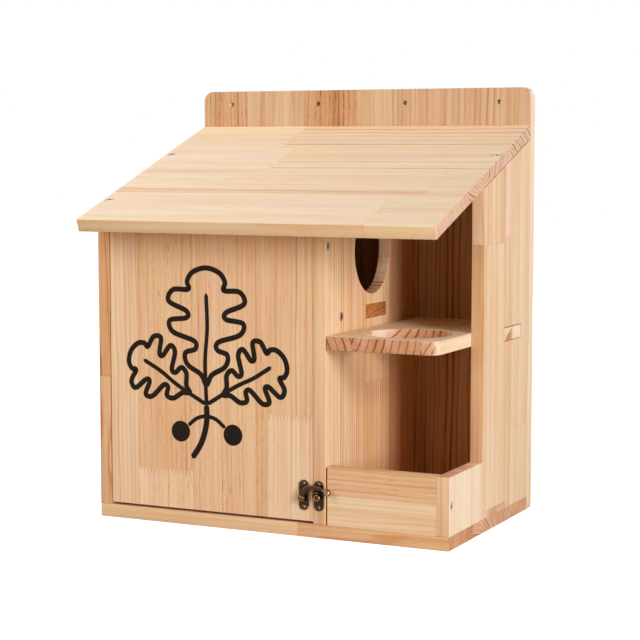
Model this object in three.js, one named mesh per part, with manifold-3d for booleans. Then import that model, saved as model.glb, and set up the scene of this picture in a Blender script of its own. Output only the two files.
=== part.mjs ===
// Squirrel feeder box in pine: a nest chamber behind a top-hung door on the left, and an open
// feeding bay with a shelf and a nut tray on the right, under one sloping roof.
// Millimetres, +Z up, front towards -Y. Pieces are drawn from the left outer side (x), the front
// plane (y) and the ground (z); the group at the end moves the origin to the middle of the footprint.

import * as THREE from 'three';
import { mergeVertices } from 'three/addons/utils/BufferGeometryUtils.js';
import Module from 'manifold-3d';

const wasm = await Module();
wasm.setup();

// Carcass
const boxWidth = 350;
const boxDepth = 202;
const boardThickness = 12;
const bayWidth = 105;
const seatGap = 0.3;

// Back board and the holes it hangs by
const backHeight = 400;
const backCornerRadius = 10;
const hangingHoleRadius = 2.25;
const hangingHoleDrop = 13.4;
const hangingHoleInnerReach = 46.5;
const hangingHoleOuterReach = 143;

// Roof
const backRise = 35;
const roofSlope = THREE.MathUtils.degToRad(19.87);
const roofOverhang = 36;

// Right wall: low beside the tray, full height behind
const trayHeight = 52;
const trayReach = 80.5;

// Entrance hole in the divider
const entranceRadius = 40;
const entranceDepth = 102;
const entranceSill = 10;

// Feeder shelf, hung below the roof's front; its hole leaves a rim on three sides
const feederHeadroom = 99.7;
const shelfHoleFrontRim = 15;
const shelfHoleWallRim = 16;
const shelfHoleSideRim = 9;
const shelfCornerRadius = 10;

// Nest shelf, hung below the roof's front
const nestHeadroom = 79.2;
const nestHoleRadius = 40;
const nestHoleSideRim = 25;

// Tray
const trayBottomThickness = 6;

// Through tenons, all one width, each set in from the back board by its own length
const tenonWidth = 46;
const tenonFit = 0.3;
const feederTenonInset = 22.5;
const nestTenonInset = 70;
const trayTenonInset = 62;

// Door
const doorSideGap = 1;
const doorTopGap = 2;
const doorBottomGap = 2;
const doorStopGap = 0.5;
const pivotDrop = 19;

// Countersunk wood screws
const screwLength = 32;
const screwHeadRadius = 3.5;
const screwRim = 0.4;
const screwShankRadius = 1.75;
const screwTip = 4;
const screwFit = 0.3;
const roofScrewFrontDepth = 11;
const roofScrewBackDepth = 125.5;
const trayScrewRise = 26;
const nestScrewDepth = 34;
const feederScrewFrontDepth = 18;
const feederScrewBackDepth = 152;
const backScrewRise = 48;
const backScrewDrop = 52;
const backScrewFloorInset = 100;
const floorScrewFrontDepth = 40;
const floorScrewBackInset = 42;

// Latch plates
const latchHeight = 37.8;
const plateWidth = 9.8;
const plateHeight = 27.2;
const plateThickness = 1;
const haspInset = 7.6;
const latchScrewSpread = 10.4;

// Latch arm
const rivetInset = 1;
const rivetDrop = 2.6;
const rivetShankRadius = 1.4;
const rivetCollarRadius = 2.6;
const rivetCollarHeight = 1;
const rivetHeadRadius = 3;
const rivetHeadHeight = 1.8;
const armThickness = 2.2;
const armWidth = 6;
const armEyeRadius = 3.4;
const armReach = 25.7;
const armRise = 6.8;
const armShoulder = 11;
const armCrown = 13;
const armSwayBack = 1.5;
const armCrownReach = 14;
const armRunningGap = 0.2;
const ballRadius = 3.5;
const clawWall = 1.8;
const clawLip = 1;

// Catch post
const postRadius = 2.9;
const postTailRadius = 1.2;
const postHeight = 4.4;
const postRound = 1;
const postDrop = 1;
const postGap = 0.3;

// Small latch screws
const pinLength = 9;
const pinHeadRadius = 1.8;
const pinHeadHeight = 0.7;
const pinShankRadius = 0.9;
const pinTip = 1.5;
const pinFit = 0.2;

// How far a cutting tool runs past the face it cuts
const overrun = 1;

// Facets: a drawn arc gets twice the number of arc steps, a turned piece the number of sides
const bigArcSteps = 32;
const smallArcSteps = 8;
const screwSides = 12;
const turnedSides = 20;
const armSteps = 20;

// Faces that the pieces share
const leftInner = boardThickness;
const rightInner = boxWidth - boardThickness;
const dividerRight = rightInner - bayWidth;
const dividerLeft = dividerRight - boardThickness;
const roofBackHeight = backHeight - backRise;
const rear = boxDepth + boardThickness;
const floorTop = boardThickness;
const trayTop = floorTop + trayHeight;
const trayBottomTop = floorTop + trayBottomThickness;
const feederShelfTop = roofUndersideAt(0) - feederHeadroom;
const feederShelfUnder = feederShelfTop - boardThickness;
const nestShelfTop = roofUndersideAt(0) - nestHeadroom;
const nestShelfUnder = nestShelfTop - boardThickness;
const feederTenon = tenonSpan(feederTenonInset);
const nestTenon = tenonSpan(nestTenonInset);
const trayTenon = tenonSpan(trayTenonInset);
const doorLeft = leftInner + doorSideGap;
const doorRight = dividerLeft - doorSideGap;
const doorBottom = floorTop + doorBottomGap;
const doorTop = roofUndersideAt(0) - doorTopGap;
const pivotHeight = doorTop - pivotDrop;
const boardMiddle = boardThickness / 2;
const leftWallMiddle = boardMiddle;
const dividerMiddle = dividerLeft + boardMiddle;
const rightWallMiddle = rightInner + boardMiddle;
const haspMiddle = doorRight - haspInset;
const rivetX = haspMiddle - rivetInset;
const rivetZ = latchHeight - rivetDrop;
const postZ = latchHeight - postDrop;
const armBack = plateThickness + rivetCollarHeight + armRunningGap;
const armFront = armBack + armThickness;

// Finishes, from the photograph
const finishes = {
  palePine: { color: 0xf2dcb8, roughness: 0.55, metalness: 0 },
  warmPine: { color: 0xe3bd8d, roughness: 0.58, metalness: 0 },
  darkPine: { color: 0xc99a68, roughness: 0.6, metalness: 0 },
  zinc: { color: 0xb9bcc0, roughness: 0.35, metalness: 1 },
  bronze: { color: 0x3a2c22, roughness: 0.42, metalness: 0.9 },
  wornBronze: { color: 0x8a7448, roughness: 0.3, metalness: 1 },
};

// Directions that screws are driven in
const rightward = new THREE.Vector3(1, 0, 0);
const leftward = new THREE.Vector3(-1, 0, 0);
const forward = new THREE.Vector3(0, -1, 0);
const backward = new THREE.Vector3(0, 1, 0);
const upward = new THREE.Vector3(0, 0, 1);
const throughRoof = new THREE.Vector3(0, Math.sin(roofSlope), -Math.cos(roofSlope));

const floorScrewBackDepth = boxDepth - floorScrewBackInset;
const backScrewLow = floorTop + backScrewRise;
const backScrewHigh = wallTopAt(boxDepth) - backScrewDrop;
const trayScrewHeight = floorTop + trayScrewRise;
const nestShelfMiddle = nestShelfUnder + boardMiddle;
const feederShelfMiddle = feederShelfUnder + boardMiddle;
const backScrewFloorLeft = backScrewFloorInset;
const backScrewFloorRight = boxWidth - backScrewFloorInset;

// Every wood screw: name, head centre, direction driven, and the boards it passes through
const woodScrews = [
  ['roof_screw_left_front', roofPoint(leftWallMiddle, roofScrewFrontDepth), throughRoof,
    ['roof_board', 'left_wall']],
  ['roof_screw_left_back', roofPoint(leftWallMiddle, roofScrewBackDepth), throughRoof,
    ['roof_board', 'left_wall']],
  ['roof_screw_right', roofPoint(rightWallMiddle, roofScrewBackDepth), throughRoof,
    ['roof_board', 'right_wall']],
  ['door_pivot_left', point(0, boardMiddle, pivotHeight), rightward, ['left_wall', 'door_panel']],
  ['door_pivot_right', point(dividerRight, boardMiddle, pivotHeight), leftward,
    ['divider_wall', 'door_panel']],
  ['tray_screw_right', point(boxWidth, boardMiddle, trayScrewHeight), leftward,
    ['right_wall', 'tray_front']],
  ['tray_screw_left', point(dividerLeft, boardMiddle, trayScrewHeight), rightward,
    ['divider_wall', 'tray_front']],
  ['nest_screw_left', point(0, nestScrewDepth, nestShelfMiddle), rightward,
    ['left_wall', 'nest_shelf']],
  ['nest_screw_right', point(dividerRight, nestScrewDepth, nestShelfMiddle), leftward,
    ['divider_wall', 'nest_shelf']],
  ['feeder_screw_front', point(dividerLeft, feederScrewFrontDepth, feederShelfMiddle), rightward,
    ['divider_wall', 'feeder_shelf']],
  ['feeder_screw_back', point(dividerLeft, feederScrewBackDepth, feederShelfMiddle), rightward,
    ['divider_wall', 'feeder_shelf']],
  ...uprights().flatMap(([side, x, board]) => [
    [`back_screw_${side}_low`, point(x, rear, backScrewLow), forward, ['back_board', board]],
    [`back_screw_${side}_high`, point(x, rear, backScrewHigh), forward, ['back_board', board]],
    [`floor_screw_${side}_front`, point(x, floorScrewFrontDepth, 0), upward, ['floor_board', board]],
    [`floor_screw_${side}_back`, point(x, floorScrewBackDepth, 0), upward, ['floor_board', board]],
  ]),
  ['back_screw_floor_left', point(backScrewFloorLeft, rear, boardMiddle), forward,
    ['back_board', 'floor_board']],
  ['back_screw_floor_right', point(backScrewFloorRight, rear, boardMiddle), forward,
    ['back_board', 'floor_board']],
];

// Every latch screw: name, the point under its head, and the plate and board it passes through
const latchScrews = [
  ['hasp_screw_top', latchPoint(haspMiddle, latchScrewSpread), ['hasp_plate', 'door_panel']],
  ['hasp_screw_bottom', latchPoint(haspMiddle, -latchScrewSpread), ['hasp_plate', 'door_panel']],
  ['catch_screw_top', latchPoint(dividerMiddle, latchScrewSpread), ['catch_plate', 'divider_wall']],
  ['catch_screw_bottom', latchPoint(dividerMiddle, -latchScrewSpread),
    ['catch_plate', 'divider_wall']],
];

// The three boards that stand on the floor: side name, middle of the board, node name
function uprights() {
  return [
    ['left', leftWallMiddle, 'left_wall'],
    ['middle', dividerMiddle, 'divider_wall'],
    ['right', rightWallMiddle, 'right_wall'],
  ];
}

function point(x, y, z) {
  return new THREE.Vector3(x, y, z);
}

function roofPoint(x, y) {
  return point(x, y, roofTopAt(y));
}

function latchPoint(x, rise) {
  return point(x, -plateThickness, latchHeight + rise);
}

// Height of the roof's top face at a depth
function roofTopAt(y) {
  return roofBackHeight - (boxDepth - y) * Math.tan(roofSlope);
}

function roofUndersideAt(y) {
  return roofTopAt(y) - boardThickness / Math.cos(roofSlope);
}

// Walls stop a hair under the roof
function wallTopAt(y) {
  return roofUndersideAt(y) - seatGap / Math.cos(roofSlope);
}

// Front and back of a tenon, from its inset from the back board
function tenonSpan(inset) {
  const back = boxDepth - inset;
  return { front: back - tenonWidth, back };
}

// A closed geometry as a solid that can be cut and joined
function solidOf(geometry) {
  const bare = geometry.clone();
  bare.deleteAttribute('normal');
  bare.deleteAttribute('uv');
  const merged = mergeVertices(bare);
  const triVerts = new Uint32Array(merged.index.array);
  const vertProperties = new Float32Array(merged.attributes.position.array);
  return new wasm.Manifold(new wasm.Mesh({ numProp: 3, vertProperties, triVerts }));
}

function geometryOf(solid) {
  const mesh = solid.getMesh();
  const geometry = new THREE.BufferGeometry();
  geometry.setAttribute('position', new THREE.BufferAttribute(mesh.vertProperties, 3));
  geometry.setIndex(new THREE.BufferAttribute(mesh.triVerts, 1));
  const flat = geometry.toNonIndexed();
  flat.computeVertexNormals();
  return flat;
}

// A shape drawn in y and z, as thick as from one x to another
function slabAlongX(shape, fromX, toX, arcSteps = bigArcSteps) {
  const geometry = new THREE.ExtrudeGeometry(shape, {
    depth: toX - fromX, bevelEnabled: false, curveSegments: arcSteps,
  });
  geometry.applyMatrix4(new THREE.Matrix4().makeBasis(backward, upward, rightward));
  geometry.translate(fromX, 0, 0);
  return solidOf(geometry);
}

// A shape drawn in x and z, as thick as from a back y to a front y
function slabAlongY(shape, backY, frontY, arcSteps = bigArcSteps) {
  const geometry = new THREE.ExtrudeGeometry(shape, {
    depth: backY - frontY, bevelEnabled: false, curveSegments: arcSteps,
  });
  geometry.applyMatrix4(new THREE.Matrix4().makeBasis(rightward, upward, forward));
  geometry.translate(0, backY, 0);
  return solidOf(geometry);
}

// A shape drawn in x and y, as thick as from one z to another
function slabAlongZ(shape, fromZ, toZ, arcSteps = bigArcSteps) {
  const geometry = new THREE.ExtrudeGeometry(shape, {
    depth: toZ - fromZ, bevelEnabled: false, curveSegments: arcSteps,
  });
  geometry.translate(0, 0, fromZ);
  return solidOf(geometry);
}

function outline(points) {
  return new THREE.Shape(points.map(([u, v]) => new THREE.Vector2(u, v)));
}

function rectangle(lowU, lowV, highU, highV) {
  return outline([[lowU, lowV], [highU, lowV], [highU, highV], [lowU, highV]]);
}

function roundHole(u, v, radius) {
  const hole = new THREE.Path();
  hole.absarc(u, v, radius, 0, Math.PI * 2);
  return hole;
}

function roundShape(u, v, radius) {
  const shape = new THREE.Shape();
  shape.absarc(u, v, radius, 0, Math.PI * 2);
  return shape;
}

// Revolves [radius, distance] pairs about a line that starts at a point and runs in a direction
function turned(profile, start, direction, sides) {
  const points = profile.map(([radius, along]) => new THREE.Vector2(radius, along));
  const geometry = new THREE.LatheGeometry(points, sides);
  const turn = new THREE.Quaternion().setFromUnitVectors(backward, direction);
  geometry.applyQuaternion(turn);
  geometry.translate(start.x, start.y, start.z);
  return solidOf(geometry);
}

// Countersunk head, straight shank, pointed tip
function woodScrew(head, direction) {
  const coneEnd = screwRim + screwHeadRadius - screwShankRadius;
  return turned([
    [0, 0],
    [screwHeadRadius, 0],
    [screwHeadRadius, screwRim],
    [screwShankRadius, coneEnd],
    [screwShankRadius, screwLength - screwTip],
    [0, screwLength],
  ], head, direction, screwSides);
}

// The hole that a wood screw sits in, a little wider all round
function woodScrewHole(head, direction) {
  const coneEnd = screwRim + screwHeadRadius - screwShankRadius;
  return turned([
    [0, -overrun],
    [screwHeadRadius + screwFit, -overrun],
    [screwHeadRadius + screwFit, screwRim + screwFit],
    [screwShankRadius + screwFit, coneEnd + screwFit],
    [screwShankRadius + screwFit, screwLength + screwFit],
    [0, screwLength + screwFit],
  ], head, direction, screwSides);
}

// Domed head on the plate, shank through it into the board
function latchScrew(seat) {
  return turned([
    [0, -pinHeadHeight],
    [pinHeadRadius / 2, -pinHeadHeight],
    [pinHeadRadius, 0],
    [pinShankRadius, 0],
    [pinShankRadius, pinLength - pinTip],
    [0, pinLength],
  ], seat, backward, screwSides);
}

function latchScrewHole(seat) {
  const radius = pinShankRadius + pinFit;
  return turned([
    [0, -overrun],
    [radius, -overrun],
    [radius, pinLength + pinFit],
    [0, pinLength + pinFit],
  ], seat, backward, screwSides);
}

// Takes the holes of every screw that passes through a board out of it
function drilled(name, solid) {
  const wood = woodScrews.filter(([, , , boards]) => boards.includes(name));
  const small = latchScrews.filter(([, , boards]) => boards.includes(name));
  const holes = [
    ...wood.map(([, head, direction]) => woodScrewHole(head, direction)),
    ...small.map(([, seat]) => latchScrewHole(seat)),
  ];
  return holes.reduce((left, hole) => left.subtract(hole), solid);
}

// The slot that a through tenon passes: wider than the tenon, through one upright
function mortise(fromX, tenon, under, top) {
  const shape = rectangle(
    tenon.front - tenonFit, under - tenonFit, tenon.back + tenonFit, top + tenonFit,
  );
  return slabAlongX(shape, fromX - overrun, fromX + boardThickness + overrun);
}

// Outline of an upright that runs from the floor to the roof at full depth
function uprightOutline() {
  return outline([
    [0, floorTop],
    [boxDepth, floorTop],
    [boxDepth, wallTopAt(boxDepth)],
    [0, wallTopAt(0)],
  ]);
}

// Full-height board with rounded top corners and a row of four hanging holes
function backBoard() {
  const shape = new THREE.Shape();
  shape.moveTo(0, 0);
  shape.lineTo(boxWidth, 0);
  shape.lineTo(boxWidth, backHeight - backCornerRadius);
  shape.absarc(boxWidth - backCornerRadius, backHeight - backCornerRadius, backCornerRadius,
    0, Math.PI / 2);
  shape.lineTo(backCornerRadius, backHeight);
  shape.absarc(backCornerRadius, backHeight - backCornerRadius, backCornerRadius,
    Math.PI / 2, Math.PI);
  const height = backHeight - hangingHoleDrop;
  for (const reach of [hangingHoleInnerReach, hangingHoleOuterReach]) {
    shape.holes.push(roundHole(boxWidth / 2 - reach, height, hangingHoleRadius));
    shape.holes.push(roundHole(boxWidth / 2 + reach, height, hangingHoleRadius));
  }
  return slabAlongY(shape, rear, boxDepth, smallArcSteps);
}

function floorBoard() {
  return slabAlongZ(rectangle(0, 0, boxWidth, boxDepth), 0, floorTop);
}

// Upright on the nest side, with the nest shelf's mortise
function leftWall() {
  const wall = slabAlongX(uprightOutline(), 0, leftInner);
  return wall.subtract(mortise(0, nestTenon, nestShelfUnder, nestShelfTop));
}

// Upright between nest and feeding bay: the entrance hole and the nest shelf's mortise
function dividerWall() {
  const shape = uprightOutline();
  const entranceHeight = nestShelfTop + entranceSill + entranceRadius;
  shape.holes.push(roundHole(entranceDepth, entranceHeight, entranceRadius));
  const wall = slabAlongX(shape, dividerLeft, dividerRight);
  return wall.subtract(mortise(dividerLeft, nestTenon, nestShelfUnder, nestShelfTop));
}

// Stepped upright: tray height in front, roof height behind, with two mortises
function rightWall() {
  const shape = outline([
    [0, floorTop],
    [boxDepth, floorTop],
    [boxDepth, wallTopAt(boxDepth)],
    [trayReach, wallTopAt(trayReach)],
    [trayReach, trayTop],
    [0, trayTop],
  ]);
  return slabAlongX(shape, rightInner, boxWidth)
    .subtract(mortise(rightInner, feederTenon, feederShelfUnder, feederShelfTop))
    .subtract(mortise(rightInner, trayTenon, floorTop, trayBottomTop));
}

// Sloping board: its front edge is square to the slope, its back edge is plumb
function roofBoard() {
  const frontTop = roofTopAt(-roofOverhang);
  const shape = outline([
    [-roofOverhang, frontTop],
    [-roofOverhang + boardThickness * Math.sin(roofSlope),
      frontTop - boardThickness * Math.cos(roofSlope)],
    [boxDepth, roofUndersideAt(boxDepth)],
    [boxDepth, roofBackHeight],
  ]);
  return slabAlongX(shape, 0, boxWidth);
}

function doorPanel() {
  return slabAlongY(rectangle(doorLeft, doorBottom, doorRight, doorTop), boardThickness, 0);
}

// Shelf of the feeding bay: a through tenon on the right, a rounded free corner, a round hole
function feederShelf() {
  const holeRadius = (bayWidth - shelfHoleWallRim - shelfHoleSideRim) / 2;
  const holeX = dividerRight + shelfHoleWallRim + holeRadius;
  const shape = new THREE.Shape();
  shape.moveTo(dividerRight, 0);
  shape.lineTo(rightInner - shelfCornerRadius, 0);
  shape.absarc(rightInner - shelfCornerRadius, shelfCornerRadius, shelfCornerRadius,
    -Math.PI / 2, 0);
  shape.lineTo(rightInner, feederTenon.front);
  shape.lineTo(boxWidth, feederTenon.front);
  shape.lineTo(boxWidth, feederTenon.back);
  shape.lineTo(rightInner, feederTenon.back);
  shape.lineTo(rightInner, boxDepth);
  shape.lineTo(dividerRight, boxDepth);
  shape.holes.push(roundHole(holeX, shelfHoleFrontRim + holeRadius, holeRadius));
  return slabAlongZ(shape, feederShelfUnder, feederShelfTop);
}

// Floor of the upper nest level: a through tenon at each end and a round way down
function nestShelf() {
  const front = boardThickness + doorStopGap;
  const shape = outline([
    [leftInner, front],
    [dividerLeft, front],
    [dividerLeft, nestTenon.front],
    [dividerRight, nestTenon.front],
    [dividerRight, nestTenon.back],
    [dividerLeft, nestTenon.back],
    [dividerLeft, boxDepth],
    [leftInner, boxDepth],
    [leftInner, nestTenon.back],
    [0, nestTenon.back],
    [0, nestTenon.front],
    [leftInner, nestTenon.front],
  ]);
  const holeX = leftInner + nestHoleSideRim + nestHoleRadius;
  shape.holes.push(roundHole(holeX, (front + boxDepth) / 2, nestHoleRadius));
  return slabAlongZ(shape, nestShelfUnder, nestShelfTop);
}

function trayFront() {
  return slabAlongY(rectangle(dividerRight, floorTop, rightInner, trayTop), boardThickness, 0);
}

// Thin board on the floor of the tray, tenoned through the foot of the right wall
function trayBottom() {
  const shape = outline([
    [dividerRight, boardThickness],
    [rightInner, boardThickness],
    [rightInner, trayTenon.front],
    [boxWidth, trayTenon.front],
    [boxWidth, trayTenon.back],
    [rightInner, trayTenon.back],
    [rightInner, boxDepth],
    [dividerRight, boxDepth],
  ]);
  return slabAlongZ(shape, floorTop, trayBottomTop);
}

// Upright plate with round ends and a hole for its rivet or post
function latchPlate(middleX, holeX, holeZ, holeRadius) {
  const radius = plateWidth / 2;
  const straight = plateHeight / 2 - radius;
  const shape = new THREE.Shape();
  shape.absarc(middleX, latchHeight + straight, radius, 0, Math.PI);
  shape.absarc(middleX, latchHeight - straight, radius, Math.PI, Math.PI * 2);
  shape.holes.push(roundHole(holeX, holeZ, holeRadius));
  return slabAlongY(shape, 0, -plateThickness, smallArcSteps);
}

// Middle line of the arm: up from the rivet, over a crown, down to the ball
function armMiddleLine() {
  return new THREE.CubicBezierCurve(
    new THREE.Vector2(rivetX, rivetZ),
    new THREE.Vector2(rivetX - armSwayBack, rivetZ + armShoulder),
    new THREE.Vector2(rivetX + armCrownReach, rivetZ + armCrown),
    new THREE.Vector2(rivetX + armReach, rivetZ + armRise),
  );
}

// Half the arm's width at a share of its length: full at the rivet, slim at the ball
function armHalfWidth(share) {
  const slimShare = 0.5;
  return armWidth / 2 * (1 - slimShare * share ** 2);
}

function armBand() {
  const line = armMiddleLine();
  const outer = [];
  const inner = [];
  for (let step = 0; step <= armSteps; step += 1) {
    const share = step / armSteps;
    const middle = line.getPoint(share);
    const along = line.getTangent(share);
    const half = armHalfWidth(share);
    outer.push([middle.x - along.y * half, middle.y + along.x * half]);
    inner.push([middle.x + along.y * half, middle.y - along.x * half]);
  }
  return slabAlongY(outline([...inner, ...outer.reverse()]), -armBack, -armFront);
}

// Claw that hangs from the arm and rests over the left half of the post
function armClaw() {
  const left = dividerMiddle - postRadius - postGap - clawWall;
  const right = dividerMiddle + clawLip;
  const top = rivetZ + (armShoulder + armCrown) / 2 - armWidth / 2;
  const block = slabAlongY(rectangle(left, postZ, right, top), -armBack, -armFront);
  const around = roundShape(dividerMiddle, postZ, postRadius + postGap);
  return block.subtract(slabAlongY(around, overrun, -armFront - overrun, smallArcSteps));
}

function latchArm() {
  const eye = slabAlongY(roundShape(rivetX, rivetZ, armEyeRadius), -armBack, -armFront, smallArcSteps);
  const ball = new THREE.SphereGeometry(ballRadius, turnedSides, turnedSides / 2);
  ball.translate(rivetX + armReach, -armFront, rivetZ + armRise);
  const bore = roundShape(rivetX, rivetZ, rivetShankRadius + armRunningGap);
  return armBand()
    .add(armClaw())
    .add(eye)
    .add(solidOf(ball))
    .subtract(slabAlongY(bore, -armBack + overrun, -armFront - overrun, smallArcSteps));
}

// Shank in the plate, collar behind the arm, domed head in front of it
function haspRivet() {
  const collarEnd = plateThickness + rivetCollarHeight;
  const headStart = armFront + armRunningGap;
  return turned([
    [0, 0],
    [rivetShankRadius, 0],
    [rivetShankRadius, plateThickness],
    [rivetCollarRadius, plateThickness],
    [rivetCollarRadius, collarEnd],
    [rivetShankRadius, collarEnd],
    [rivetShankRadius, headStart],
    [rivetHeadRadius, headStart],
    ...domeProfile(rivetHeadRadius, headStart, rivetHeadHeight),
  ], point(rivetX, 0, rivetZ), forward, turnedSides);
}

// Points of a quarter ellipse from a rim in to the axis
function domeProfile(radius, start, height) {
  const steps = [1, 2, 3, 4];
  return steps.map((step) => {
    const angle = step / steps.length * Math.PI / 2;
    return [step === steps.length ? 0 : radius * Math.cos(angle), start + height * Math.sin(angle)];
  });
}

// Plain post on the catch plate, round at the tip, so that the arm lifts off it
function catchPost() {
  const tip = plateThickness + postHeight;
  return turned([
    [0, 0],
    [postTailRadius, 0],
    [postTailRadius, plateThickness],
    [postRadius, plateThickness],
    [postRadius, tip - postRound],
    [postRadius - postRound, tip],
    [0, tip],
  ], point(dividerMiddle, 0, postZ), forward, turnedSides);
}

// One named mesh with its own material
function piece(name, solid, finish) {
  const mesh = new THREE.Mesh(geometryOf(solid), new THREE.MeshStandardMaterial(finishes[finish]));
  mesh.name = name;
  return mesh;
}

const boards = [
  ['floor_board', floorBoard(), 'warmPine'],
  ['left_wall', leftWall(), 'warmPine'],
  ['divider_wall', dividerWall(), 'palePine'],
  ['right_wall', rightWall(), 'palePine'],
  ['back_board', backBoard(), 'darkPine'],
  ['roof_board', roofBoard(), 'palePine'],
  ['nest_shelf', nestShelf(), 'warmPine'],
  ['feeder_shelf', feederShelf(), 'warmPine'],
  ['tray_bottom', trayBottom(), 'warmPine'],
  ['tray_front', trayFront(), 'warmPine'],
  ['door_panel', doorPanel(), 'warmPine'],
  ['hasp_plate', latchPlate(haspMiddle, rivetX, rivetZ, rivetShankRadius + armRunningGap), 'bronze'],
  ['catch_plate', latchPlate(dividerMiddle, dividerMiddle, postZ, postTailRadius + armRunningGap),
    'bronze'],
];

const feeder = new THREE.Group();
for (const [name, solid, finish] of boards) {
  feeder.add(piece(name, drilled(name, solid), finish));
}
for (const [name, head, direction] of woodScrews) {
  feeder.add(piece(name, woodScrew(head, direction), 'zinc'));
}
for (const [name, seat] of latchScrews) {
  feeder.add(piece(name, latchScrew(seat), 'bronze'));
}
feeder.add(piece('hasp_rivet', haspRivet(), 'wornBronze'));
feeder.add(piece('catch_post', catchPost(), 'wornBronze'));
feeder.add(piece('latch_arm', latchArm(), 'bronze'));
feeder.position.set(-boxWidth / 2, (roofOverhang - rear) / 2, 0);

export default feeder;
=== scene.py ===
"""Squirrel feeder box in pine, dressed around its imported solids.

Sizes are millimetres from the left outer side, the front plane and the ground, as the maker
measures them; a piece is moved to the row frame, in metres, when its mesh is made.
"""
import math
from functools import partialmethod

import bpy
import numpy as np
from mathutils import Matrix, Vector
from mathutils.geometry import tessellate_polygon


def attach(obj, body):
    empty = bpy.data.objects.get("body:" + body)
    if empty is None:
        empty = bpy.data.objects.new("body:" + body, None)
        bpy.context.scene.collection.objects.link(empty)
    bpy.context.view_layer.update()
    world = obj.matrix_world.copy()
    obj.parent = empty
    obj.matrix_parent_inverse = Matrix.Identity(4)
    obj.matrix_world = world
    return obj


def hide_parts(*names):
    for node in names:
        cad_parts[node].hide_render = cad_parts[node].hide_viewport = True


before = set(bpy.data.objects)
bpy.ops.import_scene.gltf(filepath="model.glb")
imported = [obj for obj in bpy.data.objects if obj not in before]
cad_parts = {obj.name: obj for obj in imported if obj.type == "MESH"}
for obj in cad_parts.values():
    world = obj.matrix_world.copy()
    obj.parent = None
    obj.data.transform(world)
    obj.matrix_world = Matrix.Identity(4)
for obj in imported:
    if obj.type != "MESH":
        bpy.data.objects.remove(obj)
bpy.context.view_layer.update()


# ---------------- floor board
# A flat pine panel under the whole box, planed, its arrises eased with a block of
# sandpaper. Six countersunk screws go up through it into the three uprights.

WIDTH = 350.0
DEPTH = 202.0
BOARD = 12.0
ROW_ORIGIN = np.array([175.0, 89.0, 0.0])
RIGHT = np.array([1.0, 0.0, 0.0])
BACK = np.array([0.0, 1.0, 0.0])
UP = np.array([0.0, 0.0, 1.0])
CORNER_ROUND = 0.8
EASE = 0.7
EASE_STEPS = 3
NO_AREA = 1e-9
FLOOR_EASE = 0.3
HEAD_SEAT = 4.1
SEAT_DEPTH = 5.0
UPRIGHT_MIDDLES = (6.0, 227.0, 344.0)
FLOOR_SCREWS_Y = (40.0, 160.0)


def rectangle(low_u, low_v, high_u, high_v):
    """Corners of an upright rectangle, anticlockwise."""
    return np.array([[low_u, low_v], [high_u, low_v], [high_u, high_v], [low_u, high_v]], float)


def once_round(steps):
    """Even angles once round a circle."""
    return np.linspace(0, 2 * math.pi, steps, endpoint=False)


def arc(centre, radius, turn):
    """Points at given angles round a centre: radius times their cosine and sine."""
    return centre + radius * np.stack([np.cos(turn), np.sin(turn)], -1)


def circle(u, v, radius, steps=24):
    """A whole circle, anticlockwise."""
    return arc((u, v), radius, once_round(steps))


def rounded(corners, radius, steps=3):
    """Each corner is replaced by an arc that touches both of its sides: it starts and ends
    radius times the tangent of half the turn away from the corner."""
    corners = np.asarray(corners, float)
    radii = np.broadcast_to(radius, len(corners))
    runs = []
    for before, corner, after, r in zip(np.roll(corners, 1, 0), corners, np.roll(corners, -1, 0), radii):
        come = (corner - before) / np.linalg.norm(corner - before)
        go = (after - corner) / np.linalg.norm(after - corner)
        turn = math.atan2(come[0] * go[1] - come[1] * go[0], come @ go)
        if r == 0:
            runs.append(corner[None])
            continue
        start = corner - come * r * math.tan(abs(turn) / 2)
        centre = start + np.array([-come[1], come[0]]) * r * np.sign(turn)
        angle = np.linspace(0, turn, steps + 1)[:, None]
        arm = start - centre
        runs.append(centre + arm * np.cos(angle) + np.array([-arm[1], arm[0]]) * np.sin(angle))
    return np.concatenate(runs)


def drawn_in(loop, inset):
    """Every side of a closed outline moved by inset towards the material on its left: a point
    goes along the sum of its two side normals, divided by one plus their product."""
    side = np.roll(loop, -1, 0) - loop
    side /= np.linalg.norm(side, axis=1, keepdims=True)
    outward = np.stack([side[:, 1], -side[:, 0]], 1)
    previous = np.roll(outward, 1, 0)
    mitre = (outward + previous) / (1 + np.sum(outward * previous, 1, keepdims=True))
    return loop - mitre * inset


def ring_quads(first, rows, columns):
    """Faces of a grid whose rows are closed loops: each point, the next in its row, and the
    two above them."""
    row, column = np.meshgrid(np.arange(rows - 1), np.arange(columns), indexing="ij")
    here = first + row * columns + column
    beside = first + row * columns + (column + 1) % columns
    return np.stack([here, beside, beside + columns, here + columns], -1).reshape(-1, 4).tolist()


def cap(points, loops, upward):
    """Triangles between an outline and its holes, all turned the same way. Loops are index
    lists into points."""
    order = np.concatenate(loops)
    flat = [[Vector((*points[i, :2], 0)) for i in loop] for loop in loops]
    triangles = order[np.array(tessellate_polygon(flat))]
    a, b, c = (points[triangles[:, k], :2] for k in range(3))
    area = (b - a)[:, 0] * (c - a)[:, 1] - (b - a)[:, 1] * (c - a)[:, 0]
    wrong = (area > 0) != upward
    triangles[wrong] = triangles[wrong][:, ::-1]
    return triangles[np.abs(area) > NO_AREA].tolist()


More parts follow.
